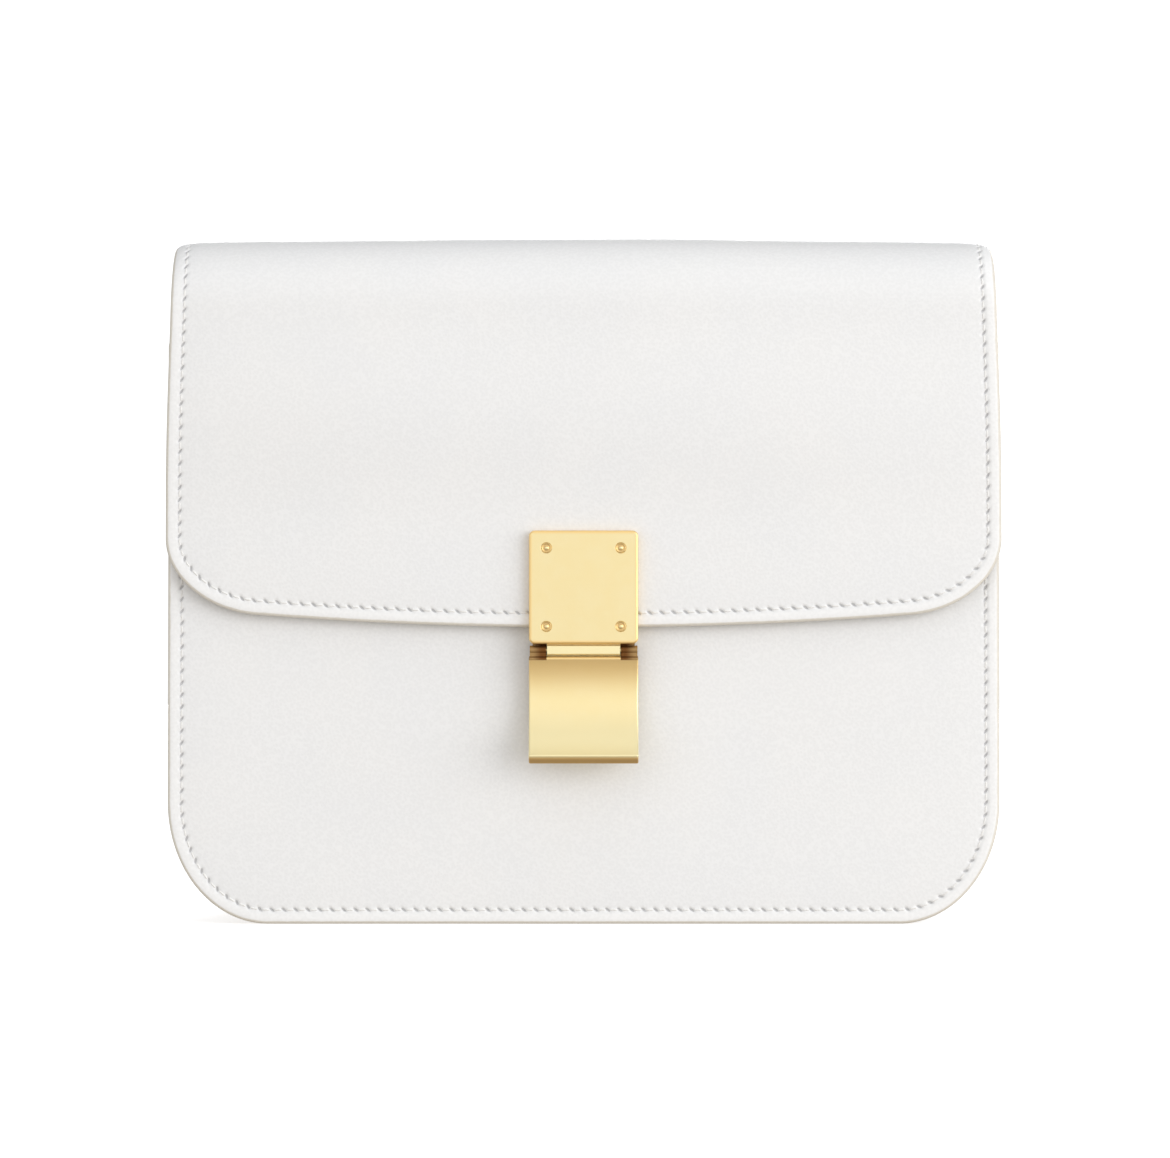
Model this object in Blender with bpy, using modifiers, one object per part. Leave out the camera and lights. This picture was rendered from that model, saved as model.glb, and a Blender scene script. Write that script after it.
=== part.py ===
"""A structured white leather flap bag with a gold flip clasp, at its real size in metres.

+Z is up, the front faces -Y and the bag stands on z = 0. Its origin is under the middle of its whole box.
"""

import math

import bmesh
import bpy
from mathutils import Matrix, Vector

# Leather body
BAG_WIDTH = 0.2393  # front panel, side to side
BAG_HEIGHT = 0.1980  # floor to the middle of the crest
BASE_DEPTH = 0.0600  # front face to back face at the floor
TOP_DEPTH = 0.0500  # the same two faces carried up to the crest's height
CORNER_WIDTH = 0.0267  # lower corners of the panels, quarter ellipses
CORNER_HEIGHT = 0.0350
PANEL_THICKNESS = 0.0024
PANEL_DROP = 0.0260  # the front panel's upper edge under the crest
PANEL_TOP_CORNER = 0.0060
SEAM_GAP = 0.0003  # between leathers that are sewn together

# Gusset, the strip round both sides and the base
GUSSET_THICKNESS = 0.0016
GUSSET_DROP = 0.0320  # its upper ends under the crest
SEAM_MARGIN = 0.0050  # the strip stands this far inside the panels' edge
FLANGE_INSET = 0.0005  # the flanges end this far inside the panels' edge
FLANGE_BEND = 0.0020
STRIP_SLACK = 0.0010  # leather in half the strip beyond half the base's span
FOLD_START = 0.0080  # height at which the side folds begin
FOLD_FULL = 0.0620  # height from which they take all the slack
FOLD_SOFTNESS = 0.12  # roundness of the fold's inner crease, as a share of half the span

# Back and flap, one sheet
SHEET_THICKNESS = 0.0026
FLAP_GAP = 0.0020  # between the flap and the front panel
FLAP_WIDTH = 0.2400
CREST_WIDTH = 0.2370
FRONT_FOLD_RADIUS = 0.0200
BACK_FOLD_RADIUS = 0.0160
FLAP_EDGE_HEIGHT = 0.0852  # floor to the middle of the flap's lower edge
FLAP_EDGE_RISE = 0.0059  # how far that edge rises to the sides
FLAP_CORNER_WIDTH = 0.0260
FLAP_CORNER_HEIGHT = 0.0195
FLAP_BULGE = 0.0016
CREST_ARCH = 0.0012  # the crest's ends lie this much lower than its middle
CREST_DROOP = 0.0014  # the last stretch at each end drops this much more
CREST_DROOP_LENGTH = 0.0060

# Clasp, placed by its hinge axis; distances go along and out from the flap's face
HINGE_HEIGHT = 0.0787  # floor to the hinge axis
HINGE_OUT = 0.0006  # axis in front of the flap's face
PLATE_WIDTH = 0.0313
PLATE_HEIGHT = 0.0325
PLATE_THICKNESS = 0.0026
PLATE_BEVEL = 0.0008
PLATE_SEAT = 0.0003  # between each metal plate and what it sits on
KNUCKLE_RADIUS = 0.00175
KNUCKLE_WIDTH = 0.0209
BLOCK_WIDTH = 0.0270  # the block that fills the flap's notch
BLOCK_HEIGHT = 0.0078
NOTCH_GAP = 0.0003
BACK_PLATE_THICKNESS = 0.0012
BACK_PLATE_HEIGHT = 0.0315
RIVET_INSET = 0.0050  # rivet centres from the plate's edges
RIVET_RADIUS = 0.00115
RIVET_DOME = 0.00030
RIVET_CLEARANCE = 0.0003
PIN_RADIUS = 0.00060
PIN_CLEARANCE = 0.00025
PIN_INSET = 0.0003  # the pin's ends from the lever's sides
HINGE_CLEARANCE = 0.0003

# Lever, a leaf whose face is one hollow arc
EAR_RADIUS = 0.00130
LEAF_START_DROP = 0.00225  # top of the leaf's face under the axis
LEAF_DROP = 0.0280  # height of the leaf's face
LEAF_TOP_ANGLE = 20.0  # degrees that the face leans in at its top
LEAF_TIP_ANGLE = 45.0  # degrees that it kicks out at its tip
LEAF_TOP_THICKNESS = 0.0024
LEAF_TIP_THICKNESS = 0.0033
LEAF_BEVEL = 0.00035

# Keeper on the front panel, behind the lever
KEEPER_WIDTH = 0.0220
KEEPER_HEIGHT = 0.0160
KEEPER_THICKNESS = 0.0012
KEEPER_DROP = 0.0060  # its top under the hinge axis
LIP_HEIGHT = 0.0024
LIP_REACH = 0.0010

# Rows of the sheet between its lower edges and the fold, as shares of each straight stretch
BACK_ROWS = (0.0, 0.10, 0.30, 0.60, 0.85, 1.0)
FLAP_ROWS = (0.0, 0.08, 0.18, 0.30, 0.42, 0.54, 0.66, 0.78, 0.90, 1.0)
FOLD_STEPS = 8
CORNER_STEPS = 8
MIDDLE_STEPS = 14

# Colours, roughness and metallic value of each finish
FINISHES = {
    "white_leather": ((0.86, 0.855, 0.84), 0.45, 0.0),
    "gold": ((0.91, 0.70, 0.33), 0.32, 1.0),
}

PANEL_TOP = BAG_HEIGHT - PANEL_DROP
GUSSET_TOP = BAG_HEIGHT - GUSSET_DROP
LEAN = math.atan((BASE_DEPTH - TOP_DEPTH) / 2 / BAG_HEIGHT)


def clear_scene():
    for old in list(bpy.data.objects):
        bpy.data.objects.remove(old, do_unlink=True)


def new_collection(name):
    made = bpy.data.collections.new(name)
    bpy.context.scene.collection.children.link(made)
    return made


def new_finish(name):
    colour, roughness, metallic = FINISHES[name]
    made = bpy.data.materials.new(name)
    made.use_nodes = True
    shader = made.node_tree.nodes["Principled BSDF"]
    shader.inputs["Base Color"].default_value = (*colour, 1)
    shader.inputs["Roughness"].default_value = roughness
    shader.inputs["Metallic"].default_value = metallic
    return made


def place(name, mesh, parent, material=None, cutter=False):
    """An object of a mesh in its collection, under its parent; a cutter is left out of the model."""
    made = bpy.data.objects.new(name, mesh)
    (CUTTERS if cutter else MODEL).objects.link(made)
    made.parent = parent
    if cutter:
        made.hide_render = True
        made.display_type = "WIRE"
    if material:
        mesh.materials.append(material)
    return made


def mesh_of(bm, name):
    mesh = bpy.data.meshes.new(name)
    bmesh.ops.recalc_face_normals(bm, faces=bm.faces)
    bm.to_mesh(mesh)
    bm.free()
    return mesh


def box_mesh(name, low, high):
    """A box between two corners, as a cube whose size is in its mesh."""
    bm = bmesh.new()
    bmesh.ops.create_cube(bm, size=1)
    low, high = Vector(low), Vector(high)
    size = Matrix.Diagonal((*(high - low), 1))
    bmesh.ops.transform(bm, matrix=Matrix.Translation((low + high) / 2) @ size, verts=bm.verts)
    return mesh_of(bm, name)


def rod_mesh(name, radius, start, end, sides):
    """A round rod between two points."""
    bm = bmesh.new()
    start, end = Vector(start), Vector(end)
    turn = (end - start).to_track_quat("Z", "Y").to_matrix().to_4x4()
    bmesh.ops.create_cone(
        bm,
        cap_ends=True,
        segments=sides,
        radius1=radius,
        radius2=radius,
        depth=(end - start).length,
        matrix=Matrix.Translation((start + end) / 2) @ turn,
    )
    return mesh_of(bm, name)


def outline_mesh(name, points, thickness, turn):
    """A flat closed outline of the given thickness, filled as a 2D curve and turned into place."""
    curve = bpy.data.curves.new(name, "CURVE")
    curve.dimensions = "2D"
    curve.fill_mode = "BOTH"
    curve.extrude = thickness / 2
    spline = curve.splines.new("POLY")
    spline.points.add(len(points) - 1)
    for point, (across, up) in zip(spline.points, points):
        point.co = (across, up, 0, 1)
    spline.use_cyclic_u = True
    guide = bpy.data.objects.new(name, curve)
    MODEL.objects.link(guide)
    bpy.context.view_layer.update()
    filled = bpy.data.meshes.new_from_object(guide.evaluated_get(bpy.context.evaluated_depsgraph_get()))
    bpy.data.objects.remove(guide, do_unlink=True)
    bm = bmesh.new()
    bm.from_mesh(filled)
    bpy.data.meshes.remove(filled)
    bmesh.ops.remove_doubles(bm, verts=bm.verts, dist=1e-6)
    bmesh.ops.dissolve_limit(bm, angle_limit=math.radians(0.1), verts=bm.verts, edges=bm.edges)
    bmesh.ops.transform(bm, matrix=turn, verts=bm.verts)
    return mesh_of(bm, name)


def bevel(target, width, segments):
    made = target.modifiers.new("rounded_edges", "BEVEL")
    made.width = width
    made.segments = segments
    made.limit_method = "ANGLE"
    made.angle_limit = math.radians(40)


def combine(target, tool, operation):
    made = target.modifiers.new(tool.name, "BOOLEAN")
    made.operation = operation
    made.object = tool
    made.solver = "EXACT"


def smooth(target, angle):
    target.data.shade_smooth()
    target.data.set_sharp_from_angle(angle=math.radians(angle))


def ease(share):
    """0 below 0, 1 above 1, and an S-curve between."""
    share = min(max(share, 0.0), 1.0)
    return share * share * (3 - 2 * share)


def half_depth(height):
    """From the middle plane to the panels' outer faces, which lean towards each other."""
    return (BASE_DEPTH + (TOP_DEPTH - BASE_DEPTH) * height / BAG_HEIGHT) / 2


def corner_lift(across, half_width, corner_width, corner_height):
    """How far a quarter-ellipse corner lifts a lower edge at a distance from the middle."""
    share = min(max((across - half_width + corner_width) / corner_width, 0.0), 1.0)
    return corner_height * (1 - math.sqrt(1 - share * share))


def half_outline():
    """Right half of the panels' edge: (x, z, outward x, outward z) from the base's middle up one side."""
    half = BAG_WIDTH / 2
    points = [(0.0, 0.0, 0.0, -1.0)]
    for step in range(CORNER_STEPS + 1):
        turn = math.radians(90 * step / CORNER_STEPS)
        x = half - CORNER_WIDTH + CORNER_WIDTH * math.sin(turn)
        z = CORNER_HEIGHT * (1 - math.cos(turn))
        normal = Vector((CORNER_HEIGHT * math.sin(turn), -CORNER_WIDTH * math.cos(turn))).normalized()
        points.append((x, z, normal.x, normal.y))
    return points


def make_front_panel(finish):
    half = BAG_WIDTH / 2
    right = [(x, z) for x, z, _, _ in half_outline()[1:]]
    for step in range(5):
        turn = math.radians(90 * step / 4)
        x = half - PANEL_TOP_CORNER * (1 - math.cos(turn))
        z = PANEL_TOP - PANEL_TOP_CORNER * (1 - math.sin(turn))
        right.append((x, z))
    outline = right + [(-x, z) for x, z in reversed(right)]
    upright = Matrix.Rotation(math.radians(90), 4, "X")
    mesh = outline_mesh("front_panel", outline, PANEL_THICKNESS, upright)
    for vertex in mesh.vertices:
        vertex.co.y += PANEL_THICKNESS / 2 - half_depth(vertex.co.z)
    place("front_panel", mesh, ROOT, finish)


def fold_depth(height):
    """How far the side's fold reaches in: the strip keeps its length while the panels close in."""
    strip = BASE_DEPTH / 2 - PANEL_THICKNESS - GUSSET_THICKNESS + STRIP_SLACK
    span = half_depth(height) - PANEL_THICKNESS - GUSSET_THICKNESS
    reach = math.sqrt(max(strip * strip - span * span, 0.0))
    return reach * ease((height - FOLD_START) / (FOLD_FULL - FOLD_START))


def gusset_section(height, leather):
    """Half of the strip's section at a height: (inward from the panels' edge, behind the outer face) of
    each point, from the flange on a leather of the given thickness to the fold's crease."""
    wall = SEAM_MARGIN + GUSSET_THICKNESS / 2
    front = leather + SEAM_GAP + GUSSET_THICKNESS / 2
    rows = [(FLANGE_INSET, front), ((FLANGE_INSET + wall - FLANGE_BEND) / 2, front)]
    for step in range(4):
        turn = math.radians(30 * step)
        inward = wall - FLANGE_BEND * (1 - math.sin(turn))
        rows.append((inward, front + FLANGE_BEND * (1 - math.cos(turn))))
    start = front + FLANGE_BEND
    middle = half_depth(height)
    full = math.sqrt(1 + FOLD_SOFTNESS**2) - FOLD_SOFTNESS
    for share in (0.25, 0.5, 0.72, 0.88, 1.0):
        rest = 1 - share
        bend = 1 - (math.sqrt(rest * rest + FOLD_SOFTNESS**2) - FOLD_SOFTNESS) / full
        rows.append((wall + fold_depth(height) * bend, start + (middle - start) * share))
    return rows


def make_gusset(finish):
    half = BAG_WIDTH / 2
    stations = half_outline()
    side_steps = 10
    for step in range(1, side_steps + 1):
        z = CORNER_HEIGHT + (GUSSET_TOP - CORNER_HEIGHT) * step / side_steps
        stations.append((half, z, 1.0, 0.0))
    bm = bmesh.new()
    rings = []
    for x, z, out_x, out_z in stations:
        ring = []
        front = [(inward, deep, -1) for inward, deep in gusset_section(z, PANEL_THICKNESS)]
        back = [(inward, deep, 1) for inward, deep in gusset_section(z, SHEET_THICKNESS)]
        for inward, deep, side in front + back[-2::-1]:
            point_z = z - out_z * inward
            y = side * (half_depth(point_z) - deep)
            ring.append(bm.verts.new((x - out_x * inward, y, point_z)))
        rings.append(ring)
    for near, far in zip(rings, rings[1:]):
        for row in range(len(near) - 1):
            bm.faces.new((near[row], near[row + 1], far[row + 1], far[row]))
    gusset = place("gusset", mesh_of(bm, "gusset"), ROOT, finish)
    mirror = gusset.modifiers.new("other_side", "MIRROR")
    mirror.merge_threshold = 0.00001
    shell = gusset.modifiers.new("leather", "SOLIDIFY")
    shell.thickness = GUSSET_THICKNESS
    shell.offset = 0
    shell.use_even_offset = True
    smooth(gusset, 60)


def fold_centre(radius, outside):
    """Height and depth of a fold's centre, for a fold tangent to a face that stands outside the panels."""
    height = BAG_HEIGHT - radius
    return height, half_depth(height) + outside - radius / math.cos(LEAN)


def flap_half_width(height):
    share = ease((height / BAG_HEIGHT - 0.62) / 0.38)
    return (FLAP_WIDTH + (CREST_WIDTH - FLAP_WIDTH) * share) / 2


def back_half_width(height):
    share = ease((height - GUSSET_TOP) / (BAG_HEIGHT - GUSSET_TOP))
    return (BAG_WIDTH + (CREST_WIDTH - BAG_WIDTH) * share) / 2


def crest_shape(x, half_width, height):
    """The crest's slight arch and its drooping ends, which fade out down the faces."""
    ends = max(abs(x) - half_width + CREST_DROOP_LENGTH, 0.0) / CREST_DROOP_LENGTH
    sag = CREST_ARCH * (x / half_width) ** 2 + CREST_DROOP * ends * ends
    return height - sag * ease((height / BAG_HEIGHT - 0.80) / 0.18)


def flap_bulge(x, half_width, height, top):
    """How far the flap swells out between the fold and the clasp's plate."""
    low = HINGE_HEIGHT + PLATE_HEIGHT + PLATE_THICKNESS
    share = min(max((height - low) / (top - low), 0.0), 1.0)
    across = 1 - 0.6 * (x / half_width) ** 4
    return FLAP_BULGE * across * math.sin(math.pi * share) ** 2


def sheet_column(share):
    """The sheet's middle surface along one line from the base up the back, over and down the flap."""
    skin = SHEET_THICKNESS / 2
    points = []
    back_z, back_y = fold_centre(BACK_FOLD_RADIUS, 0.0)
    back_radius = BACK_FOLD_RADIUS - skin
    back_top = back_z + back_radius * math.sin(LEAN)
    half = BAG_WIDTH / 2
    low = corner_lift(abs(share) * half, half, CORNER_WIDTH, CORNER_HEIGHT)
    for row in BACK_ROWS:
        z = low + (back_top - low) * row
        points.append((share * back_half_width(z), half_depth(z) - skin, z))
    for step in range(1, FOLD_STEPS + 1):
        turn = LEAN + (math.pi / 2 - LEAN) * step / FOLD_STEPS
        z = back_z + back_radius * math.sin(turn)
        points.append((share * back_half_width(z), back_y + back_radius * math.cos(turn), z))
    outside = FLAP_GAP + SHEET_THICKNESS
    front_z, front_y = fold_centre(FRONT_FOLD_RADIUS, outside)
    front_radius = FRONT_FOLD_RADIUS - skin
    crest = BAG_HEIGHT - skin
    points.append((share * back_half_width(crest), (back_y - front_y) / 2, crest))
    for step in range(FOLD_STEPS + 1):
        turn = math.pi / 2 - (math.pi / 2 - LEAN) * step / FOLD_STEPS
        z = front_z + front_radius * math.sin(turn)
        points.append((share * flap_half_width(z), -front_y - front_radius * math.cos(turn), z))
    front_top = points[-1][2]
    half = FLAP_WIDTH / 2
    low = FLAP_EDGE_HEIGHT + FLAP_EDGE_RISE * share * share
    low += corner_lift(abs(share) * half, half, FLAP_CORNER_WIDTH, FLAP_CORNER_HEIGHT)
    for row in FLAP_ROWS[1:]:
        z = front_top + (low - front_top) * row
        width = flap_half_width(z)
        bulge = flap_bulge(share * width, width, z, front_top)
        points.append((share * width, -(half_depth(z) + outside - skin + bulge), z))
    shaped = []
    for x, y, z in points:
        width = max(abs(x / share), 1e-6) if share else 1.0
        shaped.append((x, y, crest_shape(x, width, z)))
    return shaped


def make_back_and_flap(finish):
    half = BAG_WIDTH / 2
    straight = 1 - CORNER_WIDTH / half
    shares = [straight * (2 * step / MIDDLE_STEPS - 1) for step in range(MIDDLE_STEPS + 1)]
    for step in range(1, CORNER_STEPS + 1):
        share = straight + (1 - straight) * math.sin(math.radians(90 * step / CORNER_STEPS))
        shares += [share, -share]
    bm = bmesh.new()
    columns = [[bm.verts.new(point) for point in sheet_column(share)] for share in sorted(shares)]
    for left, right in zip(columns, columns[1:]):
        for row in range(len(left) - 1):
            bm.faces.new((left[row], right[row], right[row + 1], left[row + 1]))
    sheet = place("back_and_flap", mesh_of(bm, "back_and_flap"), ROOT, finish)
    shell = sheet.modifiers.new("leather", "SOLIDIFY")
    shell.thickness = SHEET_THICKNESS
    shell.offset = 0
    shell.use_even_offset = True
    low = (-BLOCK_WIDTH / 2 - NOTCH_GAP, -PLATE_THICKNESS, -PLATE_HEIGHT / 2)
    high = (BLOCK_WIDTH / 2 + NOTCH_GAP, FLAP_GAP + SHEET_THICKNESS, plate_bottom() + BLOCK_HEIGHT + NOTCH_GAP)
    combine(sheet, place("notch", box_mesh("notch", low, high), CLASP, cutter=True), "DIFFERENCE")
    for number, (x, z) in enumerate(rivet_places()[2:]):
        start = (x, -PLATE_THICKNESS, z)
        end = (x, FLAP_GAP + SHEET_THICKNESS, z)
        hole = rod_mesh("flap_hole", RIVET_RADIUS + RIVET_CLEARANCE, start, end, 16)
        combine(sheet, place(f"flap_hole_{number + 1}", hole, CLASP, cutter=True), "DIFFERENCE")
    smooth(sheet, 60)


def plate_bottom():
    """The plate's lower edge over the hinge axis."""
    return KNUCKLE_RADIUS


def rivet_places():
    """Across and up from the hinge axis: the two lower rivets, then the two upper ones."""
    across = PLATE_WIDTH / 2 - RIVET_INSET
    low = plate_bottom() + RIVET_INSET
    high = plate_bottom() + PLATE_HEIGHT - RIVET_INSET
    return [(-across, low), (across, low), (-across, high), (across, high)]


def cut_rivet_holes(target, start, end):
    for number, (x, z) in enumerate(rivet_places()):
        name = f"{target.name}_hole_{number + 1}"
        hole = rod_mesh(name, RIVET_RADIUS + RIVET_CLEARANCE, (x, start, z), (x, end, z), 16)
        combine(target, place(name, hole, CLASP, cutter=True), "DIFFERENCE")


def make_clasp_plate(finish):
    half = PLATE_WIDTH / 2
    back = -PLATE_SEAT
    front = back - PLATE_THICKNESS
    bottom = plate_bottom()
    mesh = box_mesh("clasp_plate", (-half, front, bottom), (half, back, bottom + PLATE_HEIGHT))
    plate = place("clasp_plate", mesh, CLASP, finish)
    bevel(plate, PLATE_BEVEL, 3)
    low = (-BLOCK_WIDTH / 2, back - PLATE_THICKNESS / 2, bottom + PLATE_BEVEL / 2)
    high = (BLOCK_WIDTH / 2, SHEET_THICKNESS, bottom + BLOCK_HEIGHT)
    combine(plate, place("plate_block", box_mesh("plate_block", low, high), CLASP, cutter=True), "UNION")
    reach = KNUCKLE_WIDTH / 2
    neck_high = (reach, SHEET_THICKNESS / 2, bottom + BLOCK_HEIGHT / 2)
    neck = box_mesh("plate_neck", (-reach, -HINGE_OUT, 0.0), neck_high)
    combine(plate, place("plate_neck", neck, CLASP, cutter=True), "UNION")
    knuckle = rod_mesh("plate_knuckle", KNUCKLE_RADIUS, (-reach, -HINGE_OUT, 0), (reach, -HINGE_OUT, 0), 24)
    combine(plate, place("plate_knuckle", knuckle, CLASP, cutter=True), "UNION")
    bore = rod_mesh("plate_bore", PIN_RADIUS + PIN_CLEARANCE, (-half, -HINGE_OUT, 0), (half, -HINGE_OUT, 0), 16)
    combine(plate, place("plate_bore", bore, CLASP, cutter=True), "DIFFERENCE")
    cut_rivet_holes(plate, front - PLATE_THICKNESS, SHEET_THICKNESS + PLATE_THICKNESS)
    smooth(plate, 30)


def make_clasp_back_plate(finish):
    half = PLATE_WIDTH / 2 - PLATE_BEVEL
    front = SHEET_THICKNESS + PLATE_SEAT
    back = front + BACK_PLATE_THICKNESS
    bottom = plate_bottom() + PLATE_BEVEL / 2
    mesh = box_mesh("clasp_back_plate", (-half, front, bottom), (half, back, bottom + BACK_PLATE_HEIGHT))
    plate = place("clasp_back_plate", mesh, CLASP, finish)
    bevel(plate, BACK_PLATE_THICKNESS / 4, 2)
    cut_rivet_holes(plate, front - PLATE_THICKNESS, back + PLATE_THICKNESS)
    smooth(plate, 30)


def make_rivets(finish):
    front = PLATE_SEAT + PLATE_THICKNESS
    tail = SHEET_THICKNESS + PLATE_SEAT + BACK_PLATE_THICKNESS
    dome_steps = 4
    sides = 14
    bm = bmesh.new()
    profile = []
    for step in range(dome_steps + 1):
        turn = math.radians(90 * step / dome_steps)
        profile.append((RIVET_RADIUS * math.sin(turn), front + RIVET_DOME * math.cos(turn)))
    profile += [(RIVET_RADIUS, -tail), (0.0, -tail)]
    ring = [bm.verts.new((radius, 0, height)) for radius, height in profile]
    for upper, lower in zip(ring, ring[1:]):
        bm.edges.new((upper, lower))
    mesh = bpy.data.meshes.new("clasp_rivet")
    bm.to_mesh(mesh)
    bm.free()
    mesh.materials.append(finish)
    for number, (x, z) in enumerate(rivet_places()):
        rivet = place(f"clasp_rivet_{number + 1}", mesh, CLASP)
        rivet.location = (x, 0, z)
        rivet.rotation_euler.x = math.radians(90)
        turned = rivet.modifiers.new("turned", "SCREW")
        turned.steps = turned.render_steps = sides
        turned.use_merge_vertices = True
        turned.merge_threshold = 0.00001
    mesh.shade_smooth()


def leaf_outline():
    """Side view of the lever's leaf about the hinge axis: down its hollow face, then up its back."""
    top = math.radians(-LEAF_TOP_ANGLE)
    tip = math.radians(LEAF_TIP_ANGLE)
    radius = LEAF_DROP / (math.sin(tip) - math.sin(top))
    steps = 18
    y = HINGE_OUT - PLATE_SEAT - PLATE_THICKNESS
    z = -LEAF_START_DROP
    centre_y = y - radius * math.cos(top)
    centre_z = z - radius * -math.sin(top)
    face = []
    back = []
    for step in range(steps + 1):
        share = step / steps
        turn = top + (tip - top) * share
        thickness = LEAF_TOP_THICKNESS + (LEAF_TIP_THICKNESS - LEAF_TOP_THICKNESS) * share
        face.append((centre_y + radius * math.cos(turn), centre_z - radius * math.sin(turn)))
        outer = radius + thickness
        back.append((centre_y + outer * math.cos(turn), centre_z - outer * math.sin(turn)))
    return face + back[::-1]


def make_clasp_lever(finish):
    half = PLATE_WIDTH / 2
    side_view = Matrix(((0, 0, 1, 0), (1, 0, 0, 0), (0, 1, 0, 0), (0, 0, 0, 1)))
    mesh = outline_mesh("clasp_lever", leaf_outline(), PLATE_WIDTH, side_view)
    lever = place("clasp_lever", mesh, HINGE, finish)
    bevel(lever, LEAF_BEVEL, 2)
    clear = KNUCKLE_RADIUS + HINGE_CLEARANCE
    inner = KNUCKLE_WIDTH / 2 + HINGE_CLEARANCE
    slot = rod_mesh("lever_slot", clear, (-inner, 0, 0), (inner, 0, 0), 24)
    combine(lever, place("lever_slot", slot, HINGE, cutter=True), "DIFFERENCE")
    for side, name in ((-1, "left"), (1, "right")):
        near = side * inner
        far = side * (half - LEAF_BEVEL / 2)
        web_low = (min(near, far), -EAR_RADIUS * 0.8, -LEAF_START_DROP - LEAF_TOP_THICKNESS / 2)
        web_high = (max(near, far), EAR_RADIUS * 0.8, 0.0)
        web = box_mesh(f"ear_web_{name}", web_low, web_high)
        combine(lever, place(f"ear_web_{name}", web, HINGE, cutter=True), "UNION")
        ear = rod_mesh(f"ear_{name}", EAR_RADIUS, (near, 0, 0), (far, 0, 0), 24)
        combine(lever, place(f"ear_{name}", ear, HINGE, cutter=True), "UNION")
    bore = rod_mesh("lever_bore", PIN_RADIUS + PIN_CLEARANCE, (-PLATE_WIDTH, 0, 0), (PLATE_WIDTH, 0, 0), 16)
    combine(lever, place("lever_bore", bore, HINGE, cutter=True), "DIFFERENCE")
    smooth(lever, 30)


def make_clasp_pin(finish):
    reach = PLATE_WIDTH / 2 - PIN_INSET
    mesh = rod_mesh("clasp_pin", PIN_RADIUS, (-reach, -HINGE_OUT, 0), (reach, -HINGE_OUT, 0), 16)
    smooth(place("clasp_pin", mesh, CLASP, finish), 30)


def make_clasp_keeper(finish):
    seat = SHEET_THICKNESS + FLAP_GAP - PLATE_SEAT
    face = seat - KEEPER_THICKNESS
    top = -KEEPER_DROP
    lip = top - KEEPER_HEIGHT / 2
    profile = [
        (seat, top),
        (face, top),
        (face, lip + LIP_HEIGHT),
        (face - LIP_REACH, lip + LIP_HEIGHT / 2),
        (face - LIP_REACH, lip),
        (face, lip),
        (face, top - KEEPER_HEIGHT),
        (seat, top - KEEPER_HEIGHT),
    ]
    side_view = Matrix(((0, 0, 1, 0), (1, 0, 0, 0), (0, 1, 0, 0), (0, 0, 0, 1)))
    mesh = outline_mesh("clasp_keeper", profile, KEEPER_WIDTH, side_view)
    place("clasp_keeper", mesh, CLASP, finish)


def new_empty(name, parent):
    made = bpy.data.objects.new(name, None)
    MODEL.objects.link(made)
    made.parent = parent
    return made


def centre_footprint():
    """Moves the whole bag so that the origin is under the middle of its box."""
    bpy.context.view_layer.update()
    graph = bpy.context.evaluated_depsgraph_get()
    depths = []
    for piece in MODEL.objects:
        if piece.type == "MESH":
            solid = piece.evaluated_get(graph)
            depths += [(solid.matrix_world @ Vector(corner)).y for corner in solid.bound_box]
    ROOT.location.y = -(min(depths) + max(depths)) / 2


clear_scene()
MODEL = new_collection("flap_bag")
CUTTERS = new_collection("cutters")
ROOT = new_empty("bag_origin", None)
CLASP = new_empty("clasp_place", ROOT)
CLASP.location = (0, -(half_depth(HINGE_HEIGHT) + FLAP_GAP + SHEET_THICKNESS), HINGE_HEIGHT)
CLASP.rotation_euler.x = -LEAN
HINGE = new_empty("hinge_axis", CLASP)
HINGE.location.y = -HINGE_OUT
LEATHER = new_finish("white_leather")
GOLD = new_finish("gold")
make_front_panel(LEATHER)
make_gusset(LEATHER)
make_back_and_flap(LEATHER)
make_clasp_plate(GOLD)
make_clasp_back_plate(GOLD)
make_rivets(GOLD)
make_clasp_lever(GOLD)
make_clasp_pin(GOLD)
make_clasp_keeper(GOLD)
centre_footprint()
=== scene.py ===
# %% [markdown]
# # A white box bag with a flip clasp
#
# The real bag is three pieces of stiff white leather: a front panel, a back that runs on over the top and
# comes down as the flap, and a folded strip between them. A gold plate, a hinge and a lever close it.
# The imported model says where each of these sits, so the first cell loads it. Everything made later is in
# its frame, in metres: +X to the bag's right, +Y to the back, +Z up.

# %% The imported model
import math

import bmesh
import bpy
import numpy as np
from mathutils import Matrix, Vector, geometry


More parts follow.
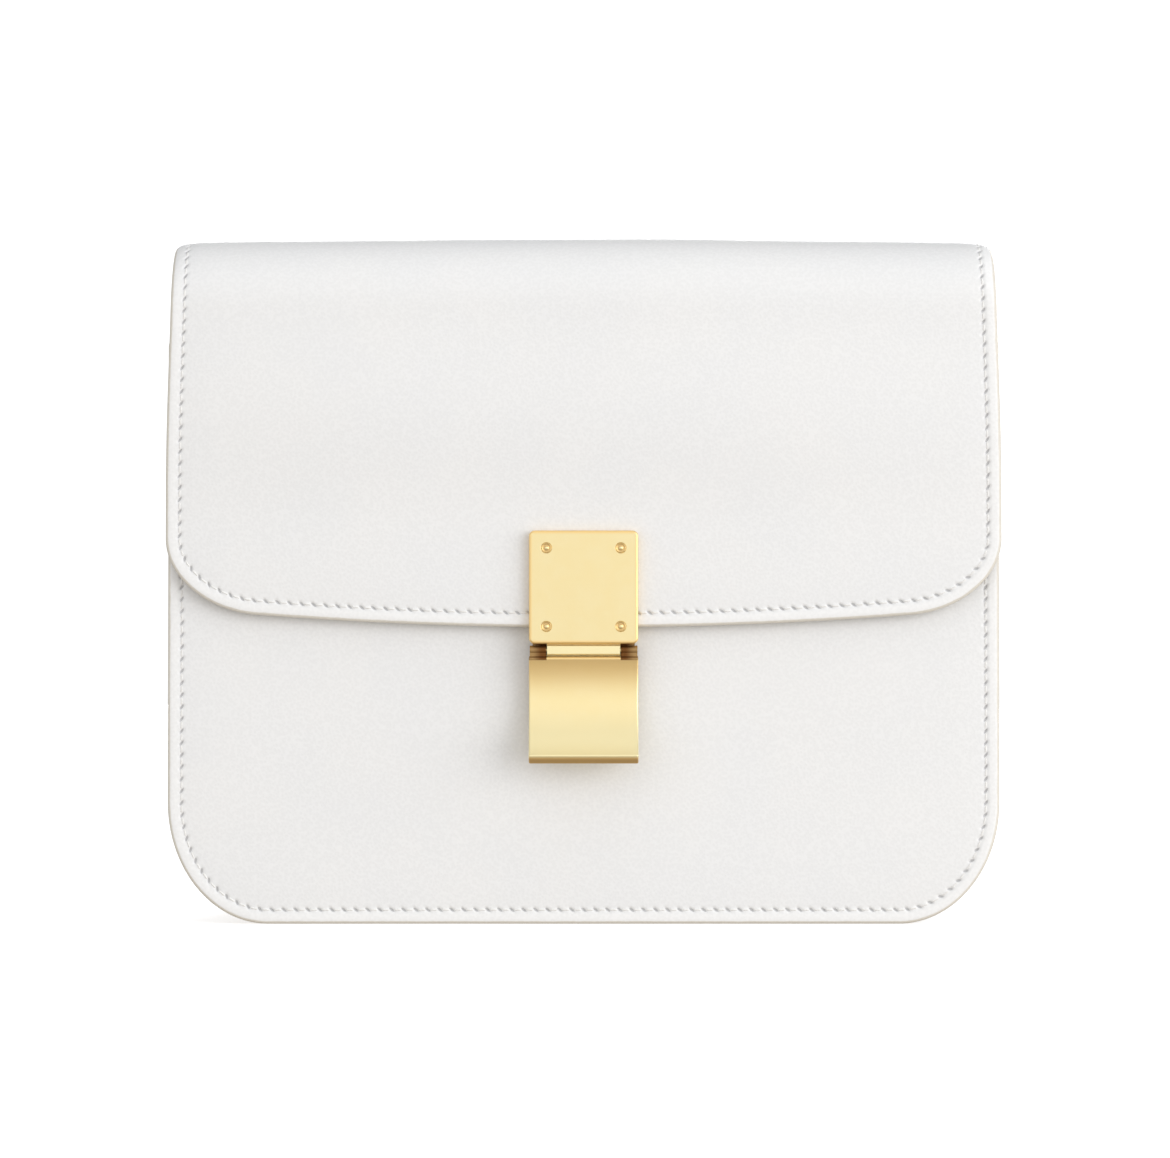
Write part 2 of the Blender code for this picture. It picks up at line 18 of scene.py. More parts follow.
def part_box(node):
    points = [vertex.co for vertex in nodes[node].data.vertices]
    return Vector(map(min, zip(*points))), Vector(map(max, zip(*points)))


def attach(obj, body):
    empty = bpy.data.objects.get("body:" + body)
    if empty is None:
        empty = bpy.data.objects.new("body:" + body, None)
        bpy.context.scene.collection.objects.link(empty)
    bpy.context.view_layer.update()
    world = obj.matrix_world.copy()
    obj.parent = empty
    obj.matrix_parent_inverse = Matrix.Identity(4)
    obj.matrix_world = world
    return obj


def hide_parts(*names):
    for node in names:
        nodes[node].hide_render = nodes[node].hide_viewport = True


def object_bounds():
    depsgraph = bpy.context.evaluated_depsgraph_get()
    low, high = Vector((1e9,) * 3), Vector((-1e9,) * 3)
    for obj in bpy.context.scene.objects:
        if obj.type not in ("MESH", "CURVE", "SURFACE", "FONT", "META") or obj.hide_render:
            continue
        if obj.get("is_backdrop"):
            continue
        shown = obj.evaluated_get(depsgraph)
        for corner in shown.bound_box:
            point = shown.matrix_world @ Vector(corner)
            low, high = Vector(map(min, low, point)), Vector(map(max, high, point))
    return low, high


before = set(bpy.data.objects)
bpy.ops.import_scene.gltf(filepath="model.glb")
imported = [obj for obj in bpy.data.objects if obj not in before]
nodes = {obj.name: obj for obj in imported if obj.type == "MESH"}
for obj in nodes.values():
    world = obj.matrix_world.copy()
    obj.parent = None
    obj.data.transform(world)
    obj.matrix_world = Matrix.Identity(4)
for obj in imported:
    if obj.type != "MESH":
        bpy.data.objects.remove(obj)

cad_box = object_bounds()
print("nodes:", ", ".join(sorted(nodes)))

# %% [markdown]
# ## The sizes that shape the leather
#
# A maker cuts leather from a paper pattern. These are the pattern's sizes, the same ones that the solids
# were made from, apart from the base corners, which curve in two millimetres sooner here. The middle plane
# between front and back is measured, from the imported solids.

# %% Sizes of the leather
MM = 0.001
BAG_WIDTH = 0.2393
BAG_HEIGHT = 0.1980
BASE_DEPTH = 0.0600
TOP_DEPTH = 0.0500
CORNER_WIDTH = 0.0290
CORNER_HEIGHT = 0.0350
PANEL_THICKNESS = 0.0024
PANEL_TOP = 0.1720
PANEL_TOP_CORNER = 0.0060
SHEET_THICKNESS = 0.0026
FLAP_GAP = 0.0020
FLAP_WIDTH = 0.2400
CREST_WIDTH = 0.2370
FRONT_FOLD_RADIUS = 0.0200
BACK_FOLD_RADIUS = 0.0160
FLAP_EDGE_HEIGHT = 0.0852
FLAP_EDGE_RISE = 0.0059
FLAP_CORNER_WIDTH = 0.0260
FLAP_CORNER_HEIGHT = 0.0195
FLAP_BULGE = 0.0016
CREST_ARCH = 0.0012
CREST_DROOP = 0.0014
CREST_DROOP_LENGTH = 0.0060
GUSSET_THICKNESS = 0.0016
GUSSET_TOP = 0.1660
LEAN = math.atan((BASE_DEPTH - TOP_DEPTH) / 2 / BAG_HEIGHT)
MIDDLE = (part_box("front_panel")[0].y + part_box("back_and_flap")[1].y) / 2
print(f"middle plane at y = {MIDDLE * 1000:.2f} mm, faces lean {math.degrees(LEAN):.2f} degrees")

# %% [markdown]
# ## How the sheet folds
#
# The back and the flap are one sheet. Seen from the side it goes straight up the back, turns over a round
# fold, runs level along the crest, turns again and hangs straight down. Such a line is a list of stretches,
# each with a length and the direction at its end. Adding up small steps in the direction of travel gives
# its points, and any place on the flat sheet can then be looked up by its distance along the line.


# %% The sheet's line from the side
def ease(share):
    """0 below 0, 1 above 1, and an S-curve between."""
    share = np.clip(share, 0.0, 1.0)
    return share * share * (3 - 2 * share)


def half_depth(height):
    """From the middle plane to the panels' outer faces."""
    return (BASE_DEPTH + (TOP_DEPTH - BASE_DEPTH) * height / BAG_HEIGHT) / 2


SKIN = SHEET_THICKNESS / 2
OUTSIDE = FLAP_GAP + SHEET_THICKNESS
BACK_RADIUS = BACK_FOLD_RADIUS - SKIN
FRONT_RADIUS = FRONT_FOLD_RADIUS - SKIN
BACK_TOP = BAG_HEIGHT - BACK_FOLD_RADIUS + BACK_RADIUS * math.sin(LEAN)
FLAP_TOP = BAG_HEIGHT - FRONT_FOLD_RADIUS + FRONT_RADIUS * math.sin(LEAN)
back_centre = half_depth(BAG_HEIGHT - BACK_FOLD_RADIUS) - BACK_FOLD_RADIUS / math.cos(LEAN)
front_centre = half_depth(BAG_HEIGHT - FRONT_FOLD_RADIUS) + OUTSIDE - FRONT_FOLD_RADIUS / math.cos(LEAN)
STRETCHES = (  # length, and the turn from upright at its end
    (BACK_TOP / math.cos(LEAN), LEAN),
    (BACK_RADIUS * (math.pi / 2 - LEAN), math.pi / 2),
    (back_centre + front_centre, math.pi / 2),
    (FRONT_RADIUS * (math.pi / 2 - LEAN), math.pi - LEAN),
    ((FLAP_TOP - FLAP_EDGE_HEIGHT) / math.cos(LEAN), math.pi - LEAN),
)
ends = np.cumsum([0.0] + [length for length, _ in STRETCHES])
LINE = np.linspace(0.0, ends[-1], 7000)
LINE_TURN = np.interp(LINE, ends, [LEAN] + [turn for _, turn in STRETCHES])
step = LINE[1]
half_turns = (LINE_TURN[1:] + LINE_TURN[:-1]) / 2
LINE_Y = half_depth(0.0) - SKIN - np.concatenate(([0.0], np.cumsum(np.sin(half_turns) * step)))
LINE_Z = np.concatenate(([0.0], np.cumsum(np.cos(half_turns) * step)))
CREST_MIDDLE = (ends[2] + ends[3]) / 2
FLAP_START = ends[4]
print(f"flat sheet {ends[-1] * 1000:.1f} mm long, its lower edge ends at z = {LINE_Z[-1] * 1000:.1f} mm")

# %% [markdown]
# ## From the flat pattern to the bag
#
# A point of the pattern has a distance across, a distance along, and a height over the middle of the
# leather's thickness. Two functions carry such points to where they are on the finished bag. Leather is
# never dead flat, so both add slow waves of a sixth of a millimetre, which fade out where the clasp has to
# sit flat. The flap also swells a little between its fold and the clasp, as it does on the real bag.


# %% Folding and standing the leather
WAVE = 0.16 * MM
PLATE_MIDDLE = 0.0970
KEEPER_MIDDLE = 0.0646
SWELL_LOW = 0.1138  # just over the clasp's plate


def waves(across, up, quiet_height):
    """Slow unevenness of stiff leather, zero round the metal at a height in the middle."""
    tau = 2 * math.pi
    slow = 0.5 * np.sin(tau * (across / 0.113 + up / 0.190) + 0.7)
    middle = 0.3 * np.sin(tau * (across / 0.067 - up / 0.131) + 2.1)
    quick = 0.2 * np.sin(tau * (up / 0.053 + across / 0.310) + 4.0)
    away = np.hypot(across, up - quiet_height)
    return WAVE * (slow + middle + quick) * ease((away - 0.024) / 0.025)


def flap_half_width(height):
    return (FLAP_WIDTH + (CREST_WIDTH - FLAP_WIDTH) * ease((height / BAG_HEIGHT - 0.62) / 0.38)) / 2


def back_half_width(height):
    share = ease((height - GUSSET_TOP) / (BAG_HEIGHT - GUSSET_TOP))
    return (BAG_WIDTH + (CREST_WIDTH - BAG_WIDTH) * share) / 2


def fold_sheet(flat, height):
    """Carries points of the flat sheet round the bag."""
    across, along = flat[..., 0], flat[..., 1]
    y = np.interp(along, LINE, LINE_Y)
    z = np.interp(along, LINE, LINE_Z)
    turn = np.interp(along, LINE, LINE_TURN)
    half = np.where(along < CREST_MIDDLE, back_half_width(z), flap_half_width(z))
    share = np.clip((z - SWELL_LOW) / (FLAP_TOP - SWELL_LOW), 0, 1) * (along > CREST_MIDDLE)
    swell = FLAP_BULGE * (1 - 0.6 * (across / half) ** 4) * np.sin(np.pi * share) ** 2
    quiet = np.where(along < CREST_MIDDLE, -1.0, PLATE_MIDDLE)
    out = height + swell + waves(across, z, quiet)
    droop = np.maximum(np.abs(across) - half + CREST_DROOP_LENGTH, 0) / CREST_DROOP_LENGTH
    sag = CREST_ARCH * (across / half) ** 2 + CREST_DROOP * droop**2
    sag = sag * ease((z / BAG_HEIGHT - 0.80) / 0.18)
    return np.stack((across, MIDDLE + y + np.cos(turn) * out, z + np.sin(turn) * out - sag), axis=-1)


def stand_panel(flat, height):
    """Stands points of the flat front panel up where the panel leans back."""
    across, up = flat[..., 0], flat[..., 1]
    out = height + waves(across, up, KEEPER_MIDDLE)
    y = MIDDLE - half_depth(up) + PANEL_THICKNESS / 2 - math.cos(LEAN) * out
    return np.stack((across, y, up + math.sin(LEAN) * out), axis=-1)


# %% [markdown]
# ## The outlines of the patterns
#
# Both patterns are the same on the left and the right, so only the right half is written down and then
# mirrored. The round corners are quarter ellipses. The flap's lower edge rises a little to the sides.


# %% Outlines
CORNER_ANGLES = np.radians(np.linspace(0, 90, 161))


def mirrored(right):
    """A closed loop from its right half, which runs from the bottom's middle to the top's middle."""
    right = np.array(right)
    left = right[::-1].copy()
    left[:, 0] *= -1
    return np.concatenate((right, left[1:-1]))


def panel_outline():
    half = BAG_WIDTH / 2
    right = [(0.0, 0.0)]
    for turn in CORNER_ANGLES:
        x = half - CORNER_WIDTH + CORNER_WIDTH * math.sin(turn)
        right.append((x, CORNER_HEIGHT * (1 - math.cos(turn))))
    for turn in CORNER_ANGLES:
        x = half - PANEL_TOP_CORNER * (1 - math.cos(turn))
        right.append((x, PANEL_TOP - PANEL_TOP_CORNER * (1 - math.sin(turn))))
    right.append((0.0, PANEL_TOP))
    return mirrored(right)


def sheet_outline():
    half = BAG_WIDTH / 2
    right = [(0.0, 0.0)]
    for turn in CORNER_ANGLES:
        x = half - CORNER_WIDTH + CORNER_WIDTH * math.sin(turn)
        right.append((x, CORNER_HEIGHT * (1 - math.cos(turn)) / math.cos(LEAN)))
    half = FLAP_WIDTH / 2
    corner_start = FLAP_EDGE_HEIGHT + FLAP_EDGE_RISE + FLAP_CORNER_HEIGHT
    side_end = FLAP_START + (FLAP_TOP - corner_start) / math.cos(LEAN)
    for along in np.linspace(right[-1][1], side_end, 400)[1:-1]:
        z = np.interp(along, LINE, LINE_Z)
        width = back_half_width(z) if along < CREST_MIDDLE else flap_half_width(z)
        right.append((width, along))
    for turn in CORNER_ANGLES[::-1]:
        x = half - FLAP_CORNER_WIDTH + FLAP_CORNER_WIDTH * math.sin(turn)
        z = FLAP_EDGE_HEIGHT + FLAP_EDGE_RISE * (x / half) ** 2 + FLAP_CORNER_HEIGHT * (1 - math.cos(turn))
        right.append((x, FLAP_START + (FLAP_TOP - z) / math.cos(LEAN)))
    for x in np.linspace(right[-1][0], 0.0, 60)[1:]:
        z = FLAP_EDGE_HEIGHT + FLAP_EDGE_RISE * (x / half) ** 2
        right.append((x, FLAP_START + (FLAP_TOP - z) / math.cos(LEAN)))
    return mirrored(right)


# %% [markdown]
# ## A pattern and its seam
#
# A seam runs round each piece, four millimetres in from the edge, about seven stitches to the inch. The
# class below spaces the outline evenly, finds which way is out at each point, and places the needle's
# holes so that a whole number of equal stitches goes round. `at` gives the flat point for a place counted
# in stitches and an inset from the edge, which is how every ring of vertices and every stitch is placed.

# %% The pattern class
SEAM_INSET = 4.0 * MM
PITCH = 3.45 * MM
EVEN_POINTS = 16000


class Pattern:
    """A closed outline cut from flat leather, with a seam at an even distance inside it."""

    def __init__(self, loop):
        closed = np.concatenate((loop, loop[:1]))
        lengths = np.concatenate(([0.0], np.cumsum(np.hypot(*np.diff(closed, axis=0).T))))
        self.length = lengths[-1]
        even = np.linspace(0, self.length, EVEN_POINTS, endpoint=False)
        self.edge = np.stack([np.interp(even, lengths, closed[:, axis]) for axis in (0, 1)], axis=-1)
        ahead = np.roll(self.edge, -8, axis=0) - np.roll(self.edge, 8, axis=0)
        ahead /= np.hypot(*ahead.T)[:, None]
        self.out = np.stack((ahead[:, 1], -ahead[:, 0]), axis=-1)
        seam = self.edge - self.out * SEAM_INSET
        gaps = np.hypot(*(np.roll(seam, -1, axis=0) - seam).T)
        self.seam_length = gaps.sum()
        self.stitches = round(self.seam_length / PITCH)
        self.seam_share = np.concatenate(([0.0], np.cumsum(gaps))) * self.stitches / self.seam_length

    def at(self, stitch, inset, shift=0.0):
        """The flat point at a count of stitches from the start, an inset and a shift along the edge."""
        index = np.interp(np.mod(stitch, self.stitches), self.seam_share, np.arange(EVEN_POINTS + 1))
        index = np.mod(index + shift * EVEN_POINTS / self.length, EVEN_POINTS)
        low = np.floor(index).astype(int) % EVEN_POINTS
        high = (low + 1) % EVEN_POINTS
        part = (index - np.floor(index))[..., None]
        edge = self.edge[low] * (1 - part) + self.edge[high] * part
        out = self.out[low] * (1 - part) + self.out[high] * part
        return edge - out * np.asarray(inset)[..., None]

    def inset_of(self, points):
        """How far flat points lie inside the outline."""
        edge = self.edge[::8]
        found = []
        for part in np.array_split(points, 40):
            found.append(np.sqrt(((part[:, None] - edge[None]) ** 2).sum(-1).min(1)))
        return np.concatenate(found)


sheet_pattern = Pattern(sheet_outline())
panel_pattern = Pattern(panel_outline())
for title, pattern in (("sheet", sheet_pattern), ("panel", panel_pattern)):
    seam_mm = pattern.seam_length / MM
    pitch_mm = seam_mm / pattern.stitches
    print(f"{title}: {pattern.stitches} stitches of {pitch_mm:.2f} mm round {seam_mm:.0f} mm")

# %% [markdown]
# ## The relief beside the seam
#
# Pulled thread presses a groove into leather, and the margin outside it stands up as a soft welt. The edge
# itself is rounded, sanded and painted. All of this depends only on the distance from the edge, so it is a
# table of inset and height, with vertices in rings that follow the edge. The slanted slits of the
# stitching awl are cut at the right columns of those rings, because the rings there lean with the slit.

# %% Relief tables
RELIEF = np.array((  # inset and height over the face, in millimetres
    (0.0, -0.12), (0.9, -0.07), (1.4, -0.02), (2.2, 0.0), (2.8, -0.03), (3.2, -0.08), (3.5, -0.13),
    (3.75, -0.17), (4.0, -0.19), (4.25, -0.195), (4.5, -0.19), (4.9, -0.18), (5.5, -0.16), (6.5, -0.125),
    (8.0, -0.08), (10.0, -0.04), (13.0, -0.01), (16.0, 0.0),
))
FACE_RINGS = (1.4, 2.0, 2.7, 3.2, 3.5, 3.75, 4.0, 4.25, 4.5, 4.9, 5.5, 6.4, 7.4, 8.4)
COLUMNS = (0.0, 0.08, 0.15, 0.23, 0.5, 0.77, 0.85, 0.92)  # places of the columns within a stitch
SLIT_DEPTH = 0.55 * MM
SLIT_REACH = 0.60 * MM  # half its extent across the seam
SLIT_TANGENT = 0.95  # shift along the seam for each unit across it
EDGE_RADIUS = 0.95 * MM


def relief(inset):
    return np.interp(inset / MM, RELIEF[:, 0], RELIEF[:, 1]) * MM


def slit(share, inset):
    """How deep the awl's slit is, from 0 to 1, at a share of a stitch and an inset."""
    near = np.minimum(share, 1 - share)
    across = np.clip(1 - ((inset - SEAM_INSET) / SLIT_REACH) ** 2, 0, 1)
    return np.interp(near, (0.0, 0.08, 0.15, 0.23), (1.0, 0.85, 0.38, 0.0)) * np.sqrt(across)


# %% [markdown]
# ## Making the leather
#
# The mesh is a closed slab. Rings run from the inner face round the rounded rim to the outer face and on
# over the seam. Inside the last ring the surface is plain, so a Delaunay triangulation fills it with a
# grid, finer beside the ring. Each vertex remembers its inset and whether it lies in a slit or inside the
# bag, which the material uses later to paint the edge.


# %% Meshes and objects
def as_mesh(bm, name):
    """Makes a mesh of a bmesh, which is then freed."""
    mesh = bpy.data.meshes.new(name)
    bm.to_mesh(mesh)
    bm.free()
    return mesh


def turn_outwards(mesh):
    """Makes the faces of a closed mesh face outwards."""
    bm = bmesh.new()
    bm.from_mesh(mesh)
    bmesh.ops.recalc_face_normals(bm, faces=bm.faces)
    bm.to_mesh(mesh)
    bm.free()


def add_object(name, data):
    piece = bpy.data.objects.new(name, data)
    bpy.context.scene.collection.objects.link(piece)
    return piece


# %% Filling a face with a grid
def inside(points, loop):
    """Which points lie in a closed loop, by counting crossings."""
    x, y = points[:, 0, None], points[:, 1, None]
    here, there = loop, np.roll(loop, -1, axis=0)
    rising = (here[:, 1] > y) != (there[:, 1] > y)
    rise = np.where(there[:, 1] == here[:, 1], 1.0, there[:, 1] - here[:, 1])
    meets = here[:, 0] + (y - here[:, 1]) * (there[:, 0] - here[:, 0]) / rise
    return (rising & (x < meets)).sum(1) % 2 == 1


def grid_points(pattern, ring, ring_inset, spacing):
    """Grid points inside a ring: at full spacing, and at half of it in a band beside the ring."""
    low, high = ring.min(0), ring.max(0)
    fine = spacing / 2
    columns = np.arange(int((high[0] - low[0]) / fine) + 1)
    rows = np.arange(int((high[1] - low[1]) / fine) + 1)
    i, j = np.meshgrid(columns, rows, indexing="ij")
    i, j = i.ravel(), j.ravel()
    start = (low + high) / 2 - fine * np.array((len(columns) // 2, len(rows) // 2))
    points = start + fine * np.stack((i, j), axis=-1)
    kept = np.concatenate([inside(part, ring[::3]) for part in np.array_split(points, 60)])
    points, i, j = points[kept], i[kept], j[kept]
    insets = pattern.inset_of(points)
    even = (i % 2 == 0) & (j % 2 == 0)
    wanted = (insets > ring_inset + 0.7 * fine) & (even | (insets < ring_inset + 2 * spacing))
    return points[wanted], insets[wanted]


def fill(ring, points):
    """Triangles between a ring and the points inside it, as indices into ring then points."""
    flat = [Vector(p) for p in np.concatenate((ring, points)).tolist()]
    loop = list(range(len(ring)))
    made = geometry.delaunay_2d_cdt(flat, [], [loop], 1, 1e-7)
    origin = [found[0] for found in made[3]]
    return [tuple(origin[index] for index in face) for face in made[2]]


# %% Leather slabs
def leather_slab(name, pattern, carry, thickness, slant, last_ring):
    """A closed piece of leather: rounded painted rim, welt, seam groove and slits on its outer face."""
    stitch = (np.arange(pattern.stitches)[:, None] + np.array(COLUMNS)[None]).ravel()
    share = np.mod(stitch, 1.0)
    count = len(stitch)
    half = thickness / 2
    inner_radius = EDGE_RADIUS * 0.8
    rings = []  # inset, height and whether the ring is on the outer face
    rings += [(3.2 * MM, -half, 0), (1.6 * MM, -half, 0)]
    for turn in np.radians((90, 60, 30, 0)):
        rings.append((inner_radius * (1 - math.cos(turn)), -half + inner_radius * (1 - math.sin(turn)), 0))
    for turn in np.radians((0, 22, 45, 67, 90)):
        inset = EDGE_RADIUS * (1 - math.cos(turn))
        rings.append((inset, half - EDGE_RADIUS * (1 - math.sin(turn)) + relief(inset), 1))
    rings += [(inset * MM, half + relief(inset * MM), 1) for inset in FACE_RINGS if inset <= last_ring]
    flats, points, insets, pits, outside = [], [], [], [], []
    for inset, height, outer in rings:
        shift = slant * SLIT_TANGENT * np.clip(inset - SEAM_INSET, -SLIT_REACH, SLIT_REACH)
        flat = pattern.at(stitch, np.full(count, inset), shift)
        pit = slit(share, inset) * outer
        flats.append(flat)
        points.append(carry(flat, height - SLIT_DEPTH * pit))
        insets.append(np.full(count, inset))
        pits.append(pit)
        outside.append(np.full(count, float(outer)))
    faces = []
    here = np.arange(count)
    there = (here + 1) % count
    for row in range(len(rings) - 1):
        low, high = row * count, (row + 1) * count
        quads = np.stack((low + here, low + there, high + there, high + here), axis=-1)
        faces += [tuple(quad) for quad in quads.tolist()]
    total = count * len(rings)
    for row, spacing, outer in ((len(rings) - 1, 3.0 * MM, 1), (0, 7.0 * MM, 0)):
        ring = flats[row]
        inset = rings[row][0]
        grid, grid_insets = grid_points(pattern, ring, inset, spacing)
        height = half + relief(grid_insets) if outer else np.full(len(grid), -half)
        for face in fill(ring, grid):
            faces.append(tuple(row * count + i if i < count else total + i - count for i in face))
        points.append(carry(grid, height))
        insets.append(grid_insets)
        pits.append(np.zeros(len(grid)))
        outside.append(np.full(len(grid), float(outer)))
        total += len(grid)
    mesh = bpy.data.meshes.new(name)
    mesh.from_pydata(np.concatenate(points).tolist(), [], faces)
    for title, values in (("inset_mm", insets), ("pit", pits), ("outer", outside)):
        scale = 1000 if title == "inset_mm" else 1
        layer = mesh.attributes.new(title, "FLOAT", "POINT")
        layer.data.foreach_set("value", (np.concatenate(values) * scale).astype(np.float32))
    return finished(name, mesh)


def finished(name, mesh):
    """Turns all faces outwards, shades them smooth and adds the object."""
    turn_outwards(mesh)
    mesh.shade_smooth()
    piece = add_object(name, mesh)
    triangles = sum(len(face.vertices) - 2 for face in mesh.polygons)
    print(f"{name}: {triangles} triangles")
    return piece


panel = leather_slab("panel_leather", panel_pattern, stand_panel, PANEL_THICKNESS, -1, 5.6)
sheet = leather_slab("flap_leather", sheet_pattern, fold_sheet, SHEET_THICKNESS, 1, 8.4)

# %% [markdown]
# ## The notch behind the clasp
#
# The clasp's hinge block comes through the flap's edge. A notch lets it in, and two holes take the upper
# rivets. Cutting them with Boolean modifiers is the quick way, because they hide behind the plate.

# %% The clasp's own frame
HINGE_HEIGHT = 0.0787
HINGE_OUT = 0.0006
PLATE_WIDTH = 0.0313
PLATE_HEIGHT = 0.0325
PLATE_THICKNESS = 0.0026
PLATE_SEAT = 0.0003
KNUCKLE_RADIUS = 0.00175
BLOCK_WIDTH = 0.0270
BLOCK_HEIGHT = 0.0078
NOTCH_GAP = 0.0003
RIVET_INSET = 0.0050
RIVET_RADIUS = 0.00115
RIVET_CLEARANCE = 0.0003
flap_face = MIDDLE - half_depth(HINGE_HEIGHT) - OUTSIDE
CLASP = Matrix.Translation((0, flap_face, HINGE_HEIGHT)) @ Matrix.Rotation(-LEAN, 4, "X")
HINGE = CLASP @ Matrix.Translation((0, -HINGE_OUT, 0))
print("hinge axis at", tuple(round(value * 1000, 2) for value in HINGE.translation), "mm")


# %% Solid building blocks for the clasp
def block_mesh(low, high):
    bm = bmesh.new()
    bmesh.ops.create_cube(bm, size=1.0)
    low, high = Vector(low), Vector(high)
    size = high - low
    bmesh.ops.transform(bm, matrix=Matrix.LocRotScale((low + high) / 2, None, size), verts=bm.verts)
    return as_mesh(bm, "block")


def rod_mesh(radius, start, end, sides):
    bm = bmesh.new()
    start, end = Vector(start), Vector(end)
    span = end - start
    turn = span.to_track_quat("Z", "Y").to_matrix().to_4x4()
    bmesh.ops.create_cone(
        bm, cap_ends=True, segments=sides, radius1=radius, radius2=radius, depth=span.length,
        matrix=Matrix.Translation((start + end) / 2) @ turn,
    )
    return as_mesh(bm, "rod")


def solid(name, mesh, place):
    mesh.transform(place)
    return add_object(name, mesh)


def settle(piece):
    """Applies a piece's modifiers to its mesh."""
    bpy.context.view_layer.update()
    graph = bpy.context.evaluated_depsgraph_get()
    made = bpy.data.meshes.new_from_object(piece.evaluated_get(graph))
    old = piece.data
    piece.modifiers.clear()
    piece.data = made
    bpy.data.meshes.remove(old)


def combine(target, operation, meshes, place):
    """Adds meshes to a solid, or cuts them from it, one after the other."""
    for mesh in meshes:
        other = solid("other", mesh, place)
        change = target.modifiers.new("change", "BOOLEAN")
        change.operation = operation
        change.solver = "EXACT"
        change.object = other
        settle(target)
        bpy.data.objects.remove(other)
        bpy.data.meshes.remove(mesh)


def rivet_places():
    """Across and up from the hinge axis, for the four rivets."""
    across = PLATE_WIDTH / 2 - RIVET_INSET
    low = KNUCKLE_RADIUS + RIVET_INSET
    high = KNUCKLE_RADIUS + PLATE_HEIGHT - RIVET_INSET
    return [(-across, low), (across, low), (-across, high), (across, high)]


# %% Cutting the notch
deep = 2 * SHEET_THICKNESS
notch_low = (-BLOCK_WIDTH / 2 - NOTCH_GAP, -deep, -PLATE_HEIGHT / 2)
notch_high = (BLOCK_WIDTH / 2 + NOTCH_GAP, deep, KNUCKLE_RADIUS + BLOCK_HEIGHT + NOTCH_GAP)
cuts = [block_mesh(notch_low, notch_high)]
for x, z in rivet_places()[2:]:
    cuts.append(rod_mesh(RIVET_RADIUS + RIVET_CLEARANCE, (x, -deep, z), (x, deep, z), 24))
combine(sheet, "DIFFERENCE", cuts, CLASP)
sheet.data.shade_smooth()
sheet.data.set_sharp_from_angle(angle=math.radians(60))
print("flap after the notch:", len(sheet.data.polygons), "faces")

# %% [markdown]
# ## The stitches
#
# Saddle stitching leaves one short length of waxed thread between each pair of slits. Each is a small tube
# that comes up out of one slit, lies in the groove and dives into the next, leaning the same way as the
# slits. Two plies twisted together give the tube an oval section that turns along it. All the tubes of
# a seam are one mesh, worked out at once with arrays.

# %% Thread
THREAD_RADIUS = 0.25 * MM
THREAD_SIDES = 8
THREAD_STATIONS = 11
THREAD_DIVE = 0.60 * MM
THREAD_LIFT = -0.06 * MM
THREAD_LEAN = 0.12 * MM  # how far its ends lie to either side of the seam
THREAD_TWIST = 1.6  # turns in one stitch
THREAD_PLY = 0.13  # how much the two plies swell and pinch the section
THREAD_TAPER = 0.35  # how much thinner its ends are
THREAD_START = 0.19  # share of a stitch where the thread comes out of its slit


def thread_mesh(name, pattern, carry, thickness, slant, wanted):
    """One short twisted tube for each stitch whose flat middle is wanted."""
    numbers = np.arange(pattern.stitches)
    middles = pattern.at(numbers + 0.5, np.full(len(numbers), SEAM_INSET))
    numbers = numbers[wanted(middles)]
    share = np.linspace(THREAD_START, 1 - THREAD_START, THREAD_STATIONS)
    lean = slant * THREAD_LEAN * (2 * share - 1)
    stitch = numbers[:, None] + share[None]
    inset = np.broadcast_to(SEAM_INSET + lean, stitch.shape)
    shift = np.broadcast_to(slant * SLIT_TANGENT * lean, stitch.shape)
    flat = pattern.at(stitch, inset, shift)
    lift = THREAD_LIFT - THREAD_DIVE * (np.abs(2 * share - 1) / (1 - 2 * THREAD_START)) ** 6
    height = thickness / 2 + relief(np.full(1, SEAM_INSET)) + lift
    height = np.broadcast_to(height, stitch.shape)
    centre = carry(flat, height)
    up = carry(flat, height + 0.1 * MM) - centre
    up /= np.linalg.norm(up, axis=-1, keepdims=True)
    ahead = np.gradient(centre, axis=1)
    ahead /= np.linalg.norm(ahead, axis=-1, keepdims=True)
    side = np.cross(ahead, up)
    side /= np.linalg.norm(side, axis=-1, keepdims=True)
    up = np.cross(side, ahead)
    angle = np.linspace(0, 2 * math.pi, THREAD_SIDES, endpoint=False)
    turn = angle[None] - 2 * math.pi * THREAD_TWIST * share[:, None]
    radius = THREAD_RADIUS * (1 + THREAD_PLY * np.cos(2 * turn))
    taper = 1 - THREAD_TAPER * np.abs(2 * share - 1) ** 8
    radius = (radius * taper[:, None])[None, :, :, None]
    ring = side[:, :, None] * np.cos(angle)[:, None] + up[:, :, None] * np.sin(angle)[:, None]
    points = centre[:, :, None] + radius * ring
    faces = []
    for tube in range(len(numbers)):
        start = tube * THREAD_STATIONS * THREAD_SIDES
        for station in range(THREAD_STATIONS - 1):
            low = start + station * THREAD_SIDES
            for k in range(THREAD_SIDES):
                nxt = (k + 1) % THREAD_SIDES
                faces.append((low + k, low + nxt, low + THREAD_SIDES + nxt, low + THREAD_SIDES + k))
        faces.append(tuple(range(start + THREAD_SIDES - 1, start - 1, -1)))
        last = start + (THREAD_STATIONS - 1) * THREAD_SIDES
        faces.append(tuple(range(last, last + THREAD_SIDES)))
    mesh = bpy.data.meshes.new(name)
    mesh.from_pydata(points.reshape(-1, 3).tolist(), [], faces)
    return finished(name, mesh)


LOWER_SEAM = FLAP_START + 80 * MM  # beyond it the seam is the one along the flap's lower edge


def beside_plate(flat):
    """Leaves out the stitches that the clasp's plate would sit on."""
    lower_seam = flat[:, 1] > LOWER_SEAM
    return ~(lower_seam & (np.abs(flat[:, 0]) < PLATE_WIDTH / 2 - 0.6 * MM))


def everywhere(flat):
    return np.full(len(flat), True)


